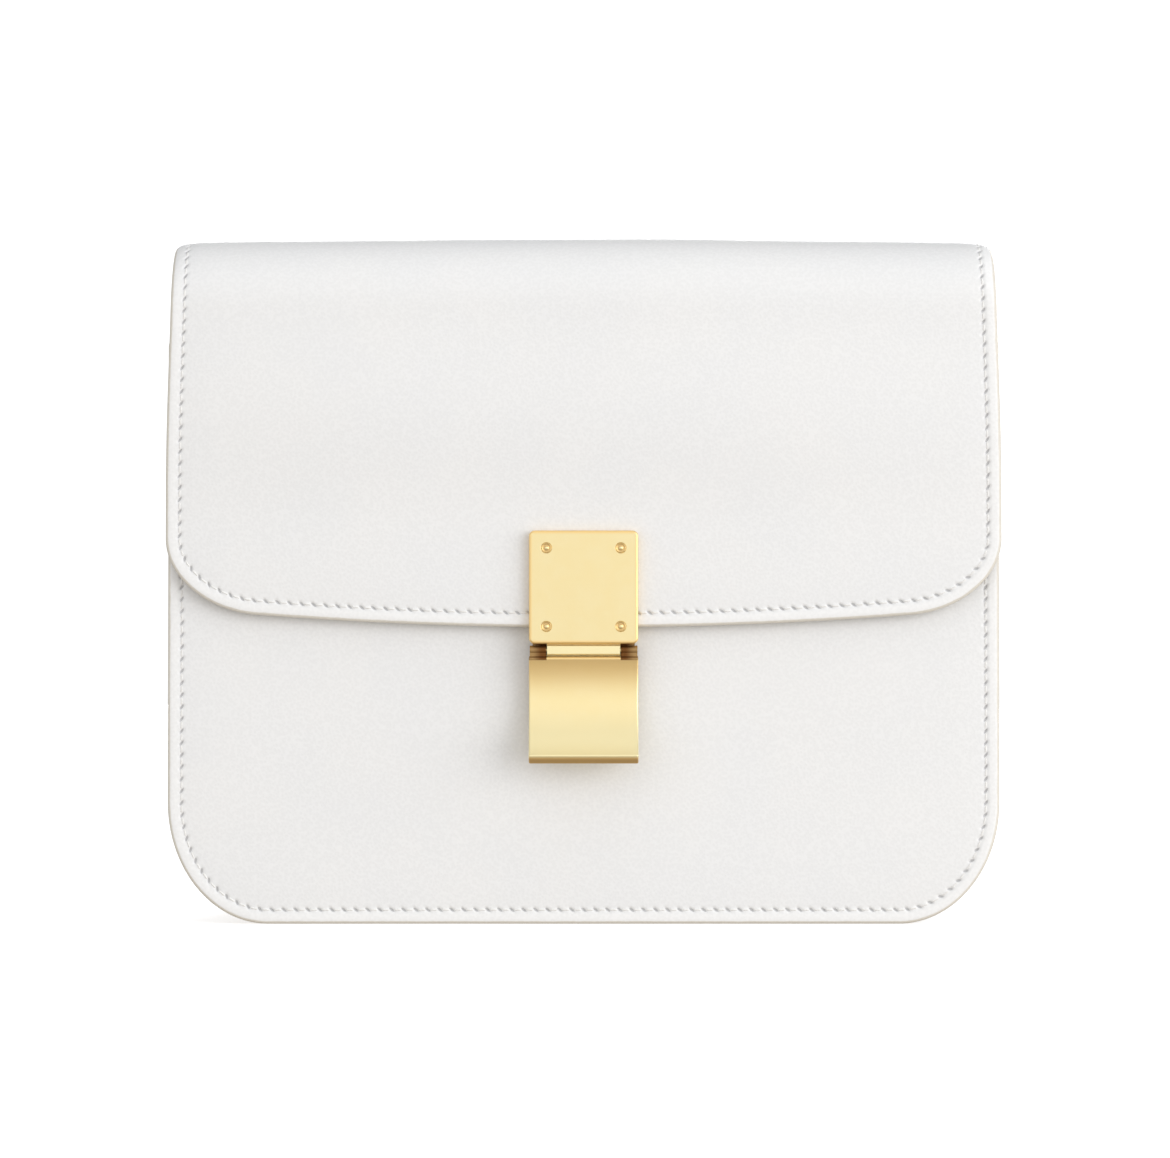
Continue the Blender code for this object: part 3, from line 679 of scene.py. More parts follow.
sheet_thread = thread_mesh("flap_thread", sheet_pattern, fold_sheet, SHEET_THICKNESS, 1, beside_plate)
panel_thread = thread_mesh("panel_thread", panel_pattern, stand_panel, PANEL_THICKNESS, -1, everywhere)

# %% [markdown]
# ## The gusset
#
# The strip between the panels lies flat under the seams, turns in, and folds inwards down each side like a
# bellows. Its section changes with height: no fold at the base, a deep one at the top, where the panels
# come closer together and leave more leather to take up. A grid of sections along the panels' edge makes
# the middle surface, and a Solidify modifier gives it thickness.

# %% Gusset
SEAM_GAP = 0.0003
SEAM_MARGIN = 0.0050
FLANGE_INSET = 0.0005
FLANGE_BEND = 0.0020
STRIP_SLACK = 0.0010
FOLD_START = 0.0080
FOLD_FULL = 0.0620
FOLD_SOFTNESS = 0.12
FOLD_SHARES = np.concatenate((np.linspace(0, 0.6, 9)[1:], np.linspace(0.6, 1.0, 13)[1:]))


def fold_depth(height):
    """How far the side's fold reaches in at a height."""
    strip = BASE_DEPTH / 2 - PANEL_THICKNESS - GUSSET_THICKNESS + STRIP_SLACK
    span = half_depth(height) - PANEL_THICKNESS - GUSSET_THICKNESS
    reach = math.sqrt(max(strip * strip - span * span, 0.0))
    return reach * float(ease((height - FOLD_START) / (FOLD_FULL - FOLD_START)))


def gusset_section(height, leather):
    """Inward and behind the outer face, from the flange on a leather of that thickness to the crease."""
    wall = SEAM_MARGIN + GUSSET_THICKNESS / 2
    front = leather + SEAM_GAP + GUSSET_THICKNESS / 2
    rows = [(FLANGE_INSET + (wall - FLANGE_BEND - FLANGE_INSET) * part, front) for part in (0, 0.3, 0.7)]
    for turn in np.radians(np.linspace(0, 90, 9)):
        rows.append((wall - FLANGE_BEND * (1 - math.sin(turn)), front + FLANGE_BEND * (1 - math.cos(turn))))
    start = front + FLANGE_BEND
    middle = half_depth(height)
    full = math.sqrt(1 + FOLD_SOFTNESS**2) - FOLD_SOFTNESS
    for share in FOLD_SHARES:
        rest = 1 - share
        bend = 1 - (math.sqrt(rest * rest + FOLD_SOFTNESS**2) - FOLD_SOFTNESS) / full
        rows.append((wall + fold_depth(height) * bend, start + (middle - start) * share))
    return rows


def gusset_stations():
    """Points of the panels' edge with the way out, from the left end round the base to the right end."""
    half = BAG_WIDTH / 2
    right = [(x, 0.0, 0.0, -1.0) for x in np.linspace(0, half - CORNER_WIDTH, 14)[:-1]]
    for turn in np.radians(np.linspace(0, 90, 25)):
        x = half - CORNER_WIDTH + CORNER_WIDTH * math.sin(turn)
        out = Vector((CORNER_HEIGHT * math.sin(turn), -CORNER_WIDTH * math.cos(turn))).normalized()
        right.append((x, CORNER_HEIGHT * (1 - math.cos(turn)), out.x, out.y))
    right += [(half, z, 1.0, 0.0) for z in np.linspace(CORNER_HEIGHT, GUSSET_TOP, 56)[1:]]
    return [(-x, z, -ox, oz) for x, z, ox, oz in right[:0:-1]] + right


bm = bmesh.new()
rings = []
for x, z, out_x, out_z in gusset_stations():
    front = [(inward, behind, -1) for inward, behind in gusset_section(z, PANEL_THICKNESS)]
    back = [(inward, behind, 1) for inward, behind in gusset_section(z, SHEET_THICKNESS)]
    ring = []
    for inward, behind, side in front + back[-2::-1]:
        up = z - out_z * inward
        ring.append(bm.verts.new((x - out_x * inward, MIDDLE + side * (half_depth(up) - behind), up)))
    rings.append(ring)
for near, far in zip(rings, rings[1:]):
    for row in range(len(near) - 1):
        bm.faces.new((near[row], near[row + 1], far[row + 1], far[row]))
gusset = finished("gusset_leather", as_mesh(bm, "gusset_leather"))
shell = gusset.modifiers.new("thickness", "SOLIDIFY")
shell.thickness = GUSSET_THICKNESS
shell.offset = 0
shell.use_even_offset = True
rim = gusset.modifiers.new("rim", "BEVEL")
rim.width = 0.4 * MM
rim.segments = 3
rim.limit_method = "ANGLE"
rim.angle_limit = math.radians(60)
settle(gusset)
gusset.data.shade_smooth()
print("gusset:", len(gusset.data.polygons), "faces")

# %% [markdown]
# ## The clasp's plate
#
# The plate is a flat block of brass with rounded edges. A block behind it fills the flap's notch, a square
# bar under it holds the pin, and an apron behind the bar closes the view to the leather. It is built up and
# cut with Booleans, as a toolmaker would think of it. That is done upright, while its faces are exactly
# flat, and with all the holes in one cut, because a Boolean on faces that are almost flat can leave gaps.

# %% Plate
PLATE_BEVEL = 0.0006
PLATE_CORNER = 0.0017
BAR_WIDTH = 0.0209
BAR_HALF = 0.0014
BAR_ROUND = 0.0004
APRON_NEAR = 0.0013
APRON_FAR = 0.0022
APRON_INSET = 1.0 * MM
PIN_BORE = 0.00085
PIN_SIDES = 32
HOLE_SIDES = 48
RIM_SLOPE = 0.00018  # depth of the countersink, which slopes at 45 degrees
RIM_AHEAD = 0.00012  # how far the cutter starts before the face
SHARP_ANGLE = 28
UPRIGHT = Matrix()


def bevelled(piece, width, segments, angle=30):
    change = piece.modifiers.new("round", "BEVEL")
    change.width = width
    change.segments = segments
    change.limit_method = "ANGLE"
    change.angle_limit = math.radians(angle)
    settle(piece)


def rounded_block(low, high, along, radius, segments):
    """A block whose four edges in one direction, 0 to 2 for X to Z, are rounded."""
    mesh = block_mesh(low, high)
    bm = bmesh.new()
    bm.from_mesh(mesh)
    chosen = [edge for edge in bm.edges if abs((edge.verts[1].co - edge.verts[0].co)[along]) > 1e-9]
    bmesh.ops.bevel(bm, geom=chosen, offset=radius, segments=segments, profile=0.5, affect="EDGES")
    bm.to_mesh(mesh)
    bm.free()
    return mesh


def stepped_rod(x, z, steps, sides):
    """A closed rod along Y whose radius changes at steps of (radius, y)."""
    bm = bmesh.new()
    rings = []
    for radius, y in steps:
        turns = [2 * math.pi * side / sides for side in range(sides)]
        rings.append([bm.verts.new((x + radius * math.cos(t), y, z + radius * math.sin(t))) for t in turns])
    for low, high in zip(rings, rings[1:]):
        for i in range(sides):
            j = (i + 1) % sides
            bm.faces.new((low[i], low[j], high[j], high[i]))
    bm.faces.new(rings[0])
    bm.faces.new(rings[-1])
    bmesh.ops.recalc_face_normals(bm, faces=bm.faces)
    return as_mesh(bm, "stepped_rod")


def sharpen(piece, angle):
    """Smooth shading that stops at corners and leaves the large faces flat."""
    piece.data.shade_smooth()
    piece.data.set_sharp_from_angle(angle=math.radians(angle))
    weigh = piece.modifiers.new("weigh", "WEIGHTED_NORMAL")
    weigh.weight = 100
    weigh.keep_sharp = True
    settle(piece)


bottom = KNUCKLE_RADIUS
face_y = -PLATE_SEAT - PLATE_THICKNESS
half = PLATE_WIDTH / 2
BAR_END = BAR_WIDTH / 2
low, high = (-half, face_y, bottom), (half, -PLATE_SEAT, bottom + PLATE_HEIGHT)
plate = solid("plate", rounded_block(low, high, 1, PLATE_CORNER, 10), UPRIGHT)
bevelled(plate, PLATE_BEVEL, 5, 45)
bar_low = (-BAR_END, -HINGE_OUT - BAR_HALF, -BAR_HALF)
bar_high = (BAR_END, -HINGE_OUT + BAR_HALF, BAR_HALF)
apron_middle = (APRON_NEAR + APRON_FAR) / 2
apron_end = half - APRON_INSET
combine(plate, "UNION", [
    block_mesh(
        (-BLOCK_WIDTH / 2, -PLATE_SEAT - PLATE_THICKNESS / 2, bottom + PLATE_BEVEL / 2),
        (BLOCK_WIDTH / 2, SHEET_THICKNESS, bottom + BLOCK_HEIGHT),
    ),
    block_mesh((-BAR_END, -HINGE_OUT, 0.0), (BAR_END, apron_middle, bottom + BLOCK_HEIGHT / 2)),
    rounded_block(bar_low, bar_high, 0, BAR_ROUND, 6),
    block_mesh((-apron_end, APRON_NEAR, -bottom), (apron_end, APRON_FAR, bottom + BLOCK_HEIGHT / 3)),
], UPRIGHT)
hole = RIVET_RADIUS + RIVET_CLEARANCE
countersunk = (  # radius and depth, from before the plate's face to behind the leather
    (hole + RIM_SLOPE + RIM_AHEAD, face_y - RIM_AHEAD), (hole, face_y + RIM_SLOPE), (hole, 2 * deep),
)
cutter = bmesh.new()
cutter.from_mesh(rod_mesh(PIN_BORE, (-half, -HINGE_OUT, 0), (half, -HINGE_OUT, 0), PIN_SIDES))
for x, z in rivet_places():
    cutter.from_mesh(stepped_rod(x, z, countersunk, HOLE_SIDES))
combine(plate, "DIFFERENCE", [as_mesh(cutter, "cutter")], UPRIGHT)
plate.data.transform(CLASP)
sharpen(plate, SHARP_ANGLE)
print("plate:", len(plate.data.polygons), "faces")

# %% [markdown]
# ## The rivets
#
# Each rivet's head fills its countersunk hole and was struck with a ring punch, so it is a small button in
# a round dish. It could be cut from a disc, but a lathe profile says it in one table, and a Screw modifier
# turns that into the piece. How far a vertex is from the middle says how much painted shade the punched
# ring gets there, and how much duller it is.

# %% Rivets
RIVET_HEAD = (  # radius and height over the plate's face, in millimetres
    (0.0, 0.10), (0.19, 0.09), (0.34, 0.06), (0.46, 0.0), (0.58, -0.10), (0.72, -0.17), (0.89, -0.19),
    (1.06, -0.15), (1.20, -0.08), (1.31, -0.05), (1.39, -0.08), (1.43, -0.15), (1.43, -0.40), (1.15, -0.42),
)
RING_RADII, RING_SHADE_AND_DULLNESS = (0.36, 0.62, 1.20, 1.40), (0, 1, 1, 0.7)
RIVET_STEPS = 40
BACK_PLATE_THICKNESS = 0.0012
face = PLATE_SEAT + PLATE_THICKNESS
tail = SHEET_THICKNESS + PLATE_SEAT + BACK_PLATE_THICKNESS
lathe = [(radius * MM, face + height * MM) for radius, height in RIVET_HEAD]
lathe += [(RIVET_RADIUS, -tail + 0.1 * MM), (RIVET_RADIUS * 0.92, -tail), (0.0, -tail)]
rivets = []
for number, (x, z) in enumerate(rivet_places(), start=1):
    mesh = bpy.data.meshes.new("rivet")
    mesh.from_pydata([(r, 0, h) for r, h in lathe], [(i, i + 1) for i in range(len(lathe) - 1)], [])
    rivet = add_object(f"rivet_{number}", mesh)
    turned = rivet.modifiers.new("turned", "SCREW")
    turned.steps = turned.render_steps = RIVET_STEPS
    turned.use_merge_vertices = True
    turned.merge_threshold = 0.01 * MM
    settle(rivet)
    rivet.data.transform(CLASP @ Matrix.Translation((x, 0, z)) @ Matrix.Rotation(math.radians(90), 4, "X"))
    turn_outwards(rivet.data)
    centre = CLASP @ Vector((x, 0, z))
    # The ring layer says where the punched ring gets painted shade and a little more roughness.
    ring = rivet.data.attributes.new("ring", "FLOAT", "POINT")
    for point, value in zip(rivet.data.vertices, ring.data):
        radius = math.hypot(point.co.x - centre.x, point.co.z - centre.z) / MM
        value.value = float(np.interp(radius, RING_RADII, RING_SHADE_AND_DULLNESS))
    sharpen(rivet, 35)
    rivets.append(rivet)
print("rivets:", len(rivets), "of", len(rivets[0].data.polygons), "faces each")

# %% [markdown]
# ## The lever
#
# The lever is a thick leaf whose face is one hollow arc: it leans in under the plate and kicks out at its
# tip, where a finger lifts it. Two ears beside the bar hold it on the pin. Its side view is drawn about
# the hinge axis and pushed across, and then the slot, webs and ears are cut and added.

# %% Lever
EAR_RADIUS = 0.00130
HINGE_CLEARANCE = 0.0003
LEAF_START_DROP = 0.00225
LEAF_DROP = 0.0280
LEAF_TOP_ANGLE = math.radians(20.0)
LEAF_TIP_ANGLE = math.radians(45.0)
LEAF_TOP_THICKNESS = 0.0024
LEAF_TIP_THICKNESS = 0.0033
LEAF_BEVEL = 0.00045
LEAF_STEPS = 56
SLOT_SIDES = 64


def leaf_outline():
    """Side view of the leaf: down its hollow face, then up its back."""
    radius = LEAF_DROP / (math.sin(LEAF_TIP_ANGLE) + math.sin(LEAF_TOP_ANGLE))
    centre_y = HINGE_OUT - PLATE_SEAT - PLATE_THICKNESS - radius * math.cos(LEAF_TOP_ANGLE)
    centre_z = -LEAF_START_DROP - radius * math.sin(LEAF_TOP_ANGLE)
    face, back = [], []
    for share in np.linspace(0, 1, LEAF_STEPS + 1):
        turn = -LEAF_TOP_ANGLE + (LEAF_TIP_ANGLE + LEAF_TOP_ANGLE) * share
        outer = radius + LEAF_TOP_THICKNESS + (LEAF_TIP_THICKNESS - LEAF_TOP_THICKNESS) * share
        face.append((centre_y + radius * math.cos(turn), centre_z - radius * math.sin(turn)))
        back.append((centre_y + outer * math.cos(turn), centre_z - outer * math.sin(turn)))
    return face + back[::-1]


def pushed_across(outline, width):
    """A solid from a side view, the same all the way across."""
    bm = bmesh.new()
    left = [bm.verts.new((-width / 2, y, z)) for y, z in outline]
    right = [bm.verts.new((width / 2, y, z)) for y, z in outline]
    bm.faces.new(left)
    bm.faces.new(right[::-1])
    for i in range(len(outline)):
        j = (i + 1) % len(outline)
        bm.faces.new((left[i], left[j], right[j], right[i]))
    bmesh.ops.recalc_face_normals(bm, faces=bm.faces)
    return as_mesh(bm, "pushed")


lever = solid("lever", pushed_across(leaf_outline(), PLATE_WIDTH), HINGE)
bevelled(lever, LEAF_BEVEL, 4)
inner = BAR_END + HINGE_CLEARANCE
combine(lever, "DIFFERENCE", [
    rod_mesh(KNUCKLE_RADIUS + HINGE_CLEARANCE, (-inner, 0, 0), (inner, 0, 0), SLOT_SIDES)
], HINGE)
added = []
for side in (-1, 1):
    ends_x = sorted((side * inner, side * (half - LEAF_BEVEL / 2)))
    web_bottom = -LEAF_START_DROP - LEAF_TOP_THICKNESS / 2
    added.append(block_mesh((ends_x[0], -EAR_RADIUS * 0.8, web_bottom), (ends_x[1], EAR_RADIUS * 0.8, 0.0)))
    added.append(rod_mesh(EAR_RADIUS, (ends_x[0], 0, 0), (ends_x[1], 0, 0), HOLE_SIDES))
combine(lever, "UNION", added, HINGE)
pin_hole = rod_mesh(PIN_BORE, (-PLATE_WIDTH, 0, 0), (PLATE_WIDTH, 0, 0), PIN_SIDES)
combine(lever, "DIFFERENCE", [pin_hole], HINGE)
sharpen(lever, SHARP_ANGLE)
LEVER_TIP_HEIGHT = (HINGE @ Vector((0, *leaf_outline()[LEAF_STEPS]))).z
print("lever:", len(lever.data.polygons), "faces")

# %% [markdown]
# ## Shader maths
#
# A material is a tree of nodes, but it reads better as sums. `Value` wraps one output of a node. Adding,
# subtracting or multiplying it puts a Math node in the tree, and so does `1 - mask`. `Finish` starts
# a material, and its `node` method adds any other node: first its settings, then its sockets.


# %% Values and finishes
class Value:
    """One output of a node, with arithmetic."""

    def __init__(self, finish, socket):
        self.finish = finish
        self.socket = socket

    def math(self, operation, first, second):
        return self.finish.node("ShaderNodeMath", {"operation": operation}, {0: first, 1: second})

    def __add__(self, other):
        return self.math("ADD", self, other)

    def __sub__(self, other):
        return self.math("SUBTRACT", self, other)

    def __rsub__(self, other):
        return self.math("SUBTRACT", other, self)

    def __mul__(self, other):
        return self.math("MULTIPLY", self, other)

    __radd__ = __add__
    __rmul__ = __mul__

    def size(self):
        return self.math("ABSOLUTE", self, 0.0)

    def step(self, low, high):
        """0 below low, 1 above high, smooth between."""
        settings = {"interpolation_type": "SMOOTHSTEP"}
        sockets = {"Value": self, "From Min": low, "From Max": high}
        return self.finish.node("ShaderNodeMapRange", settings, sockets)


class Finish:
    """A material under construction."""

    def __init__(self, name, store=bpy.data.materials, shader="Principled BSDF"):
        self.material = store.new(name)
        self.material.use_nodes = True
        self.tree = self.material.node_tree
        self.shader = self.tree.nodes[shader]

    def node(self, kind, settings=None, sockets=None, output=0):
        made = self.tree.nodes.new(kind)
        for name, setting in (settings or {}).items():
            setattr(made, name, setting)
        for name, value in (sockets or {}).items():
            self.feed(made.inputs[name], value)
        return Value(self, made.outputs[output])

    def feed(self, socket, value):
        if isinstance(value, Value):
            self.tree.links.new(value.socket, socket)
        else:
            socket.default_value = value

    def mix(self, share, first, second):
        """A colour between two colours."""
        made = self.tree.nodes.new("ShaderNodeMix")
        made.data_type = "RGBA"
        self.feed(made.inputs[0], share)
        self.feed(made.inputs[6], first)
        self.feed(made.inputs[7], second)
        return Value(self, made.outputs[2])

    def axes(self):
        """The piece's own X, Y and Z, as three values."""
        where = self.node("ShaderNodeTexCoord", output="Object")
        parts = self.node("ShaderNodeSeparateXYZ", None, {0: where}).socket.node
        return [Value(self, part) for part in parts.outputs]

    def place(self, scale=(1, 1, 1)):
        """The piece's own coordinates, stretched."""
        where = self.node("ShaderNodeTexCoord", output="Object")
        return self.node("ShaderNodeVectorMath", {"operation": "MULTIPLY"}, {0: where, 1: scale})

    def noise(self, where, scale, detail=2.0, roughness=0.5):
        sockets = {"Vector": where, "Scale": scale, "Detail": detail, "Roughness": roughness}
        return self.node("ShaderNodeTexNoise", None, sockets)

    def layer(self, name):
        """A number kept on the mesh."""
        return self.node("ShaderNodeAttribute", {"attribute_name": name}, output="Fac")

    def bump(self, height, distance, strength):
        sockets = {"Height": height, "Distance": distance, "Strength": strength}
        return self.node("ShaderNodeBump", None, sockets)

    def set(self, **sockets):
        for name, value in sockets.items():
            self.feed(self.shader.inputs[name.replace("_", " ").title()], value)
        return self.material


# %% [markdown]
# ## White box leather
#
# Smooth calf leather has a very fine grain of rounded cells, tiny pores and a satin shine that wanders
# a little. Voronoi cells give the grain, and noise bends the shine and the tone by a percent or two. The
# margin outside the seam is a shade whiter, the rim is painted cream, and the slits are painted grey,
# partly the bare leather below the finish and partly painted shade in the holes. All these places come from
# the numbers that the mesh keeps at its vertices.

# %% Leather
WHITE = (0.870, 0.870, 0.866, 1)
WHITE_COOL = (0.858, 0.861, 0.862, 1)
WELT_WHITE = (0.925, 0.925, 0.92, 1)
EDGE_PAINT = (0.76, 0.725, 0.65, 1)
SLIT_GREY_AND_PAINTED_SHADE = (0.58, 0.58, 0.585, 1)
SUEDE = (0.74, 0.71, 0.65, 1)


BLACK = (0, 0, 0, 1)
BLOTCHES, FINE_PORES, GRAIN_CELLS, CREASES, BRUSH_MARKS = 38.0, 2600.0, 1250.0, 420.0, 300.0  # in a metre
PAINT_EDGE = (0.58, 0.92)  # millimetres from the rim over which the paint ends
MARGIN_EDGE = (2.4, 3.4)
GRAIN_DEPTH = 0.060 * MM


def leather_finish(name, has_layers=True):
    """White leather; only the slabs keep layers that say where rim, slits and inner face are."""
    finish = Finish(name)
    where = finish.place()
    blotch = finish.noise(where, BLOTCHES, 3.0)
    fine = finish.noise(where, FINE_PORES, 2.0)
    sockets = {"Vector": where, "Scale": GRAIN_CELLS}
    cells = finish.node("ShaderNodeTexVoronoi", {"feature": "SMOOTH_F1"}, sockets, "Distance")
    creases = finish.noise(where, CREASES, 4.0, 0.6)
    colour = finish.mix(blotch.step(0.35, 0.65), WHITE, WHITE_COOL)
    shine = 0.40 + blotch * 0.10 + fine * 0.06
    if has_layers:
        inset = finish.layer("inset_mm")
        outer = finish.layer("outer").step(0.4, 0.6)
        wander = (finish.noise(where, BRUSH_MARKS, 2.0) - 0.5) * 0.35
        painted = 1 - (inset + wander).step(*PAINT_EDGE)
        colour = finish.mix((1 - inset.step(*MARGIN_EDGE)) * 0.8, colour, WELT_WHITE)
        colour = finish.mix(1 - outer, colour, SUEDE)
        colour = finish.mix(painted, colour, EDGE_PAINT)
        # The slits' grey is partly bare leather and partly painted shade in the holes.
        colour = finish.mix(finish.layer("pit").step(0.15, 0.75), colour, SLIT_GREY_AND_PAINTED_SHADE)
        shine = shine + (1 - outer) * 0.25 - painted * 0.05
    darker = finish.mix(0.93, BLACK, colour)
    colour = finish.mix((1 - cells).step(0.35, 0.75) * 0.5, colour, darker)
    normal = finish.bump(cells * 0.6 + fine * 0.25 + creases * 0.5, GRAIN_DEPTH, 0.75)
    finish.shader.inputs["Specular IOR Level"].default_value = 0.30
    return finish.set(base_color=colour, roughness=shine, normal=normal)


leather = leather_finish("white_leather")
strip_leather = leather_finish("white_strip_leather", has_layers=False)

# %% [markdown]
# ## Waxed thread
#
# The thread is white linen with wax on it: a little brighter than the leather and rougher, with fibres that
# show only as fine streaks.

# %% Thread finish
LINEN = (0.80, 0.79, 0.76, 1)
WAXED_LINEN = (0.88, 0.875, 0.86, 1)
FIBRES = 3200.0
finish = Finish("white_thread")
fibres = finish.noise(finish.place(), FIBRES, 3.0)
colour = finish.mix(fibres, LINEN, WAXED_LINEN)
normal = finish.bump(fibres, 0.04 * MM, 0.6)
thread = finish.set(base_color=colour, roughness=0.62 + fibres * 0.1, normal=normal)

# %% [markdown]
# ## Satin gold
#
# The clasp is brass with a pale gold plating, brushed across and then softened. Noise stretched along the
# brushing gives fine lines in the bump and the shine, and a slow noise gives the faint clouds that handling
# leaves. Light and shade are also painted into the gold's colour. Painted shade makes it deeper in tone
# along the plate's edges and under the plate, and almost brown in the recess beside the bar, and a painted
# highlight makes it pale on the bar and at the lever's tip. These places are bands of the piece's own
# coordinates, so they move with the lever.

# %% Gold
GOLD = (0.945, 0.795, 0.435, 1)
GOLD_PALE = (0.95, 0.82, 0.485, 1)
# The next three tones are painted shade, a painted highlight and darker painted shade.
GOLD_DEEP_PAINTED_SHADE = (0.97, 0.69, 0.30, 1)
GOLD_PAINTED_HIGHLIGHT = (1.0, 0.885, 0.53, 1)
GOLD_DARK_PAINTED_SHADE = (0.20, 0.085, 0.025, 1)
BRUSHED_ACROSS = (0.06, 1, 1)
BRUSH_LINES, HANDLING_CLOUDS, GOLD_SPECKS = 900.0, 160.0, 2400.0  # in a metre
BRUSH_DEPTH = 0.03 * MM


def gold_finish(name, roughness, deeper=None, darker=None, painted_highlight_mask=None):
    """Satin gold; functions may say where painted shade makes it deeper in tone or dark, and where a
    painted highlight makes it pale.
    """
    finish = Finish(name)
    lines = finish.noise(finish.place(BRUSHED_ACROSS), BRUSH_LINES, 3.0, 0.65)
    where = finish.place()
    clouds = finish.noise(where, HANDLING_CLOUDS, 3.0, 0.6)
    specks = finish.noise(where, GOLD_SPECKS, 2.0)
    colour = finish.mix(clouds.step(0.3, 0.7) * 0.6, GOLD, GOLD_PALE)
    shine = roughness - 0.05 + lines * 0.10 + clouds * 0.05
    # A painted highlight makes the gold pale; painted shade below makes it deeper or dark.
    if painted_highlight_mask:
        colour = finish.mix(painted_highlight_mask(finish), colour, GOLD_PAINTED_HIGHLIGHT)
    if deeper:
        colour = finish.mix(deeper(finish), colour, GOLD_DEEP_PAINTED_SHADE)
    if darker:
        dark = darker(finish)
        colour = finish.mix(dark, colour, GOLD_DARK_PAINTED_SHADE)
        shine = shine + dark * 0.15
    normal = finish.bump(lines * 0.7 + specks * 0.6, BRUSH_DEPTH, 0.6)
    finish.shader.inputs["Metallic"].default_value = 1.0
    return finish.set(base_color=colour, roughness=shine, normal=normal)


# %% Where the gold gets painted shade and a painted highlight
PLATE_LOW = HINGE_HEIGHT + KNUCKLE_RADIUS
PLATE_HIGH = PLATE_LOW + PLATE_HEIGHT
PLATE_SIDE = PLATE_WIDTH / 2
RECESS_LOW = HINGE_HEIGHT - 3.0 * MM
RECESS_HIGH = HINGE_HEIGHT + 1.8 * MM


def recess_painted_shade(finish):
    """Painted shade: 1 in the recess beside the bar, and less towards its outer ends."""
    across, _, height = finish.axes()
    aside = across.size()
    level = height.step(RECESS_LOW, RECESS_LOW + 0.4 * MM)
    level = level * (1 - height.step(RECESS_HIGH, RECESS_HIGH + 0.2 * MM))
    beside = aside.step(BAR_END + 0.1 * MM, BAR_END + 0.2 * MM)
    outwards = aside.step(BAR_END + 1.4 * MM, BAR_END + 4.4 * MM)
    return level * beside * (1 - outwards * 0.30)


def plate_edge_painted_shade(finish):
    """Painted shade, deeper along the plate's rounded edges."""
    across, _, height = finish.axes()
    side = across.size().step(PLATE_SIDE - 1.1 * MM, PLATE_SIDE - 0.4 * MM)
    top = height.step(PLATE_HIGH - 1.1 * MM, PLATE_HIGH - 0.4 * MM)
    bottom = 1 - height.step(PLATE_LOW + 0.6 * MM, PLATE_LOW + 1.3 * MM)
    on_plate = height.step(PLATE_LOW - 0.3 * MM, PLATE_LOW - 0.1 * MM)
    return (1 - (1 - side * 0.8) * (1 - top * 0.9) * (1 - bottom * 0.9)) * on_plate


def bar_painted_highlight(finish):
    """A painted highlight on the hinge's bar, under the plate."""
    height = finish.axes()[2]
    return (1 - height.step(PLATE_LOW - 0.4 * MM, PLATE_LOW - 0.2 * MM)) * 0.9


def lever_deep_painted_shade(finish):
    """Painted shade and reflection, deeper under the plate and on the end face."""
    height = finish.axes()[2]
    top = height.step(HINGE_HEIGHT - 15.0 * MM, HINGE_HEIGHT - 3.5 * MM)
    end_face = 1 - height.step(LEVER_TIP_HEIGHT - 0.8 * MM, LEVER_TIP_HEIGHT - 0.1 * MM)
    return top * 0.75 + end_face


def lever_shade(finish):
    """Painted shade: dark in the recess, and less so on the end face."""
    height = finish.axes()[2]
    end_face = 1 - height.step(LEVER_TIP_HEIGHT - 1.3 * MM, LEVER_TIP_HEIGHT - 0.3 * MM)
    return recess_painted_shade(finish) + end_face * 0.45


def tip_painted_highlight(finish):
    """A painted highlight, growing towards the lever's tip."""
    height = finish.axes()[2]
    return 1 - height.step(LEVER_TIP_HEIGHT + 2.0 * MM, LEVER_TIP_HEIGHT + 15.0 * MM)


# The rivets' punched ring gets painted shade: a deeper tone, then darker with a little more roughness.
def rivet_ring_painted_shade(finish):
    return finish.layer("ring")


def rivet_shade(finish):
    return finish.layer("ring") * 0.28


plate_gold = gold_finish("plate_gold", 0.42, plate_edge_painted_shade, recess_painted_shade, bar_painted_highlight)
lever_gold = gold_finish("lever_gold", 0.42, lever_deep_painted_shade, lever_shade, tip_painted_highlight)
rivet_gold = gold_finish("rivet_gold", 0.38, rivet_ring_painted_shade, rivet_shade)
hidden_gold = gold_finish("hidden_gold", 0.40)
print("finishes:", ", ".join(sorted(material.name for material in bpy.data.materials)))

# %% [markdown]
# ## Which piece takes which finish
#
# Each new piece rides on the body it belongs to and stands for the solid it refines. The pin, the counter
# plate and the keeper keep their imported shapes, which are right as they are, and only get the gold.

# %% Finishes and bodies
DRESSED = (  # piece, finish, slot, body, the solid it stands for
    (panel, leather, "leather", "bag", "front_panel"),
    (sheet, leather, "leather", "bag", "back_and_flap"),
    (gusset, strip_leather, "leather", "bag", "gusset"),
    (sheet_thread, thread, "leather", "bag", None),
    (panel_thread, thread, "leather", "bag", None),
    (plate, plate_gold, "gold", "bag", "clasp_plate"),
    *((rivet, rivet_gold, "gold", "bag", f"clasp_{rivet.name}") for rivet in rivets),
    (lever, lever_gold, "gold", "lever", "clasp_lever"),
)
for piece, material, slot, body, solid_name in DRESSED:
    piece.data.materials.clear()
    piece.data.materials.append(material)
    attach(piece, body)
    if solid_name:
        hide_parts(solid_name)
for name in ("clasp_back_plate", "clasp_pin", "clasp_keeper"):
    for slot in nodes[name].material_slots:
        slot.material = hidden_gold

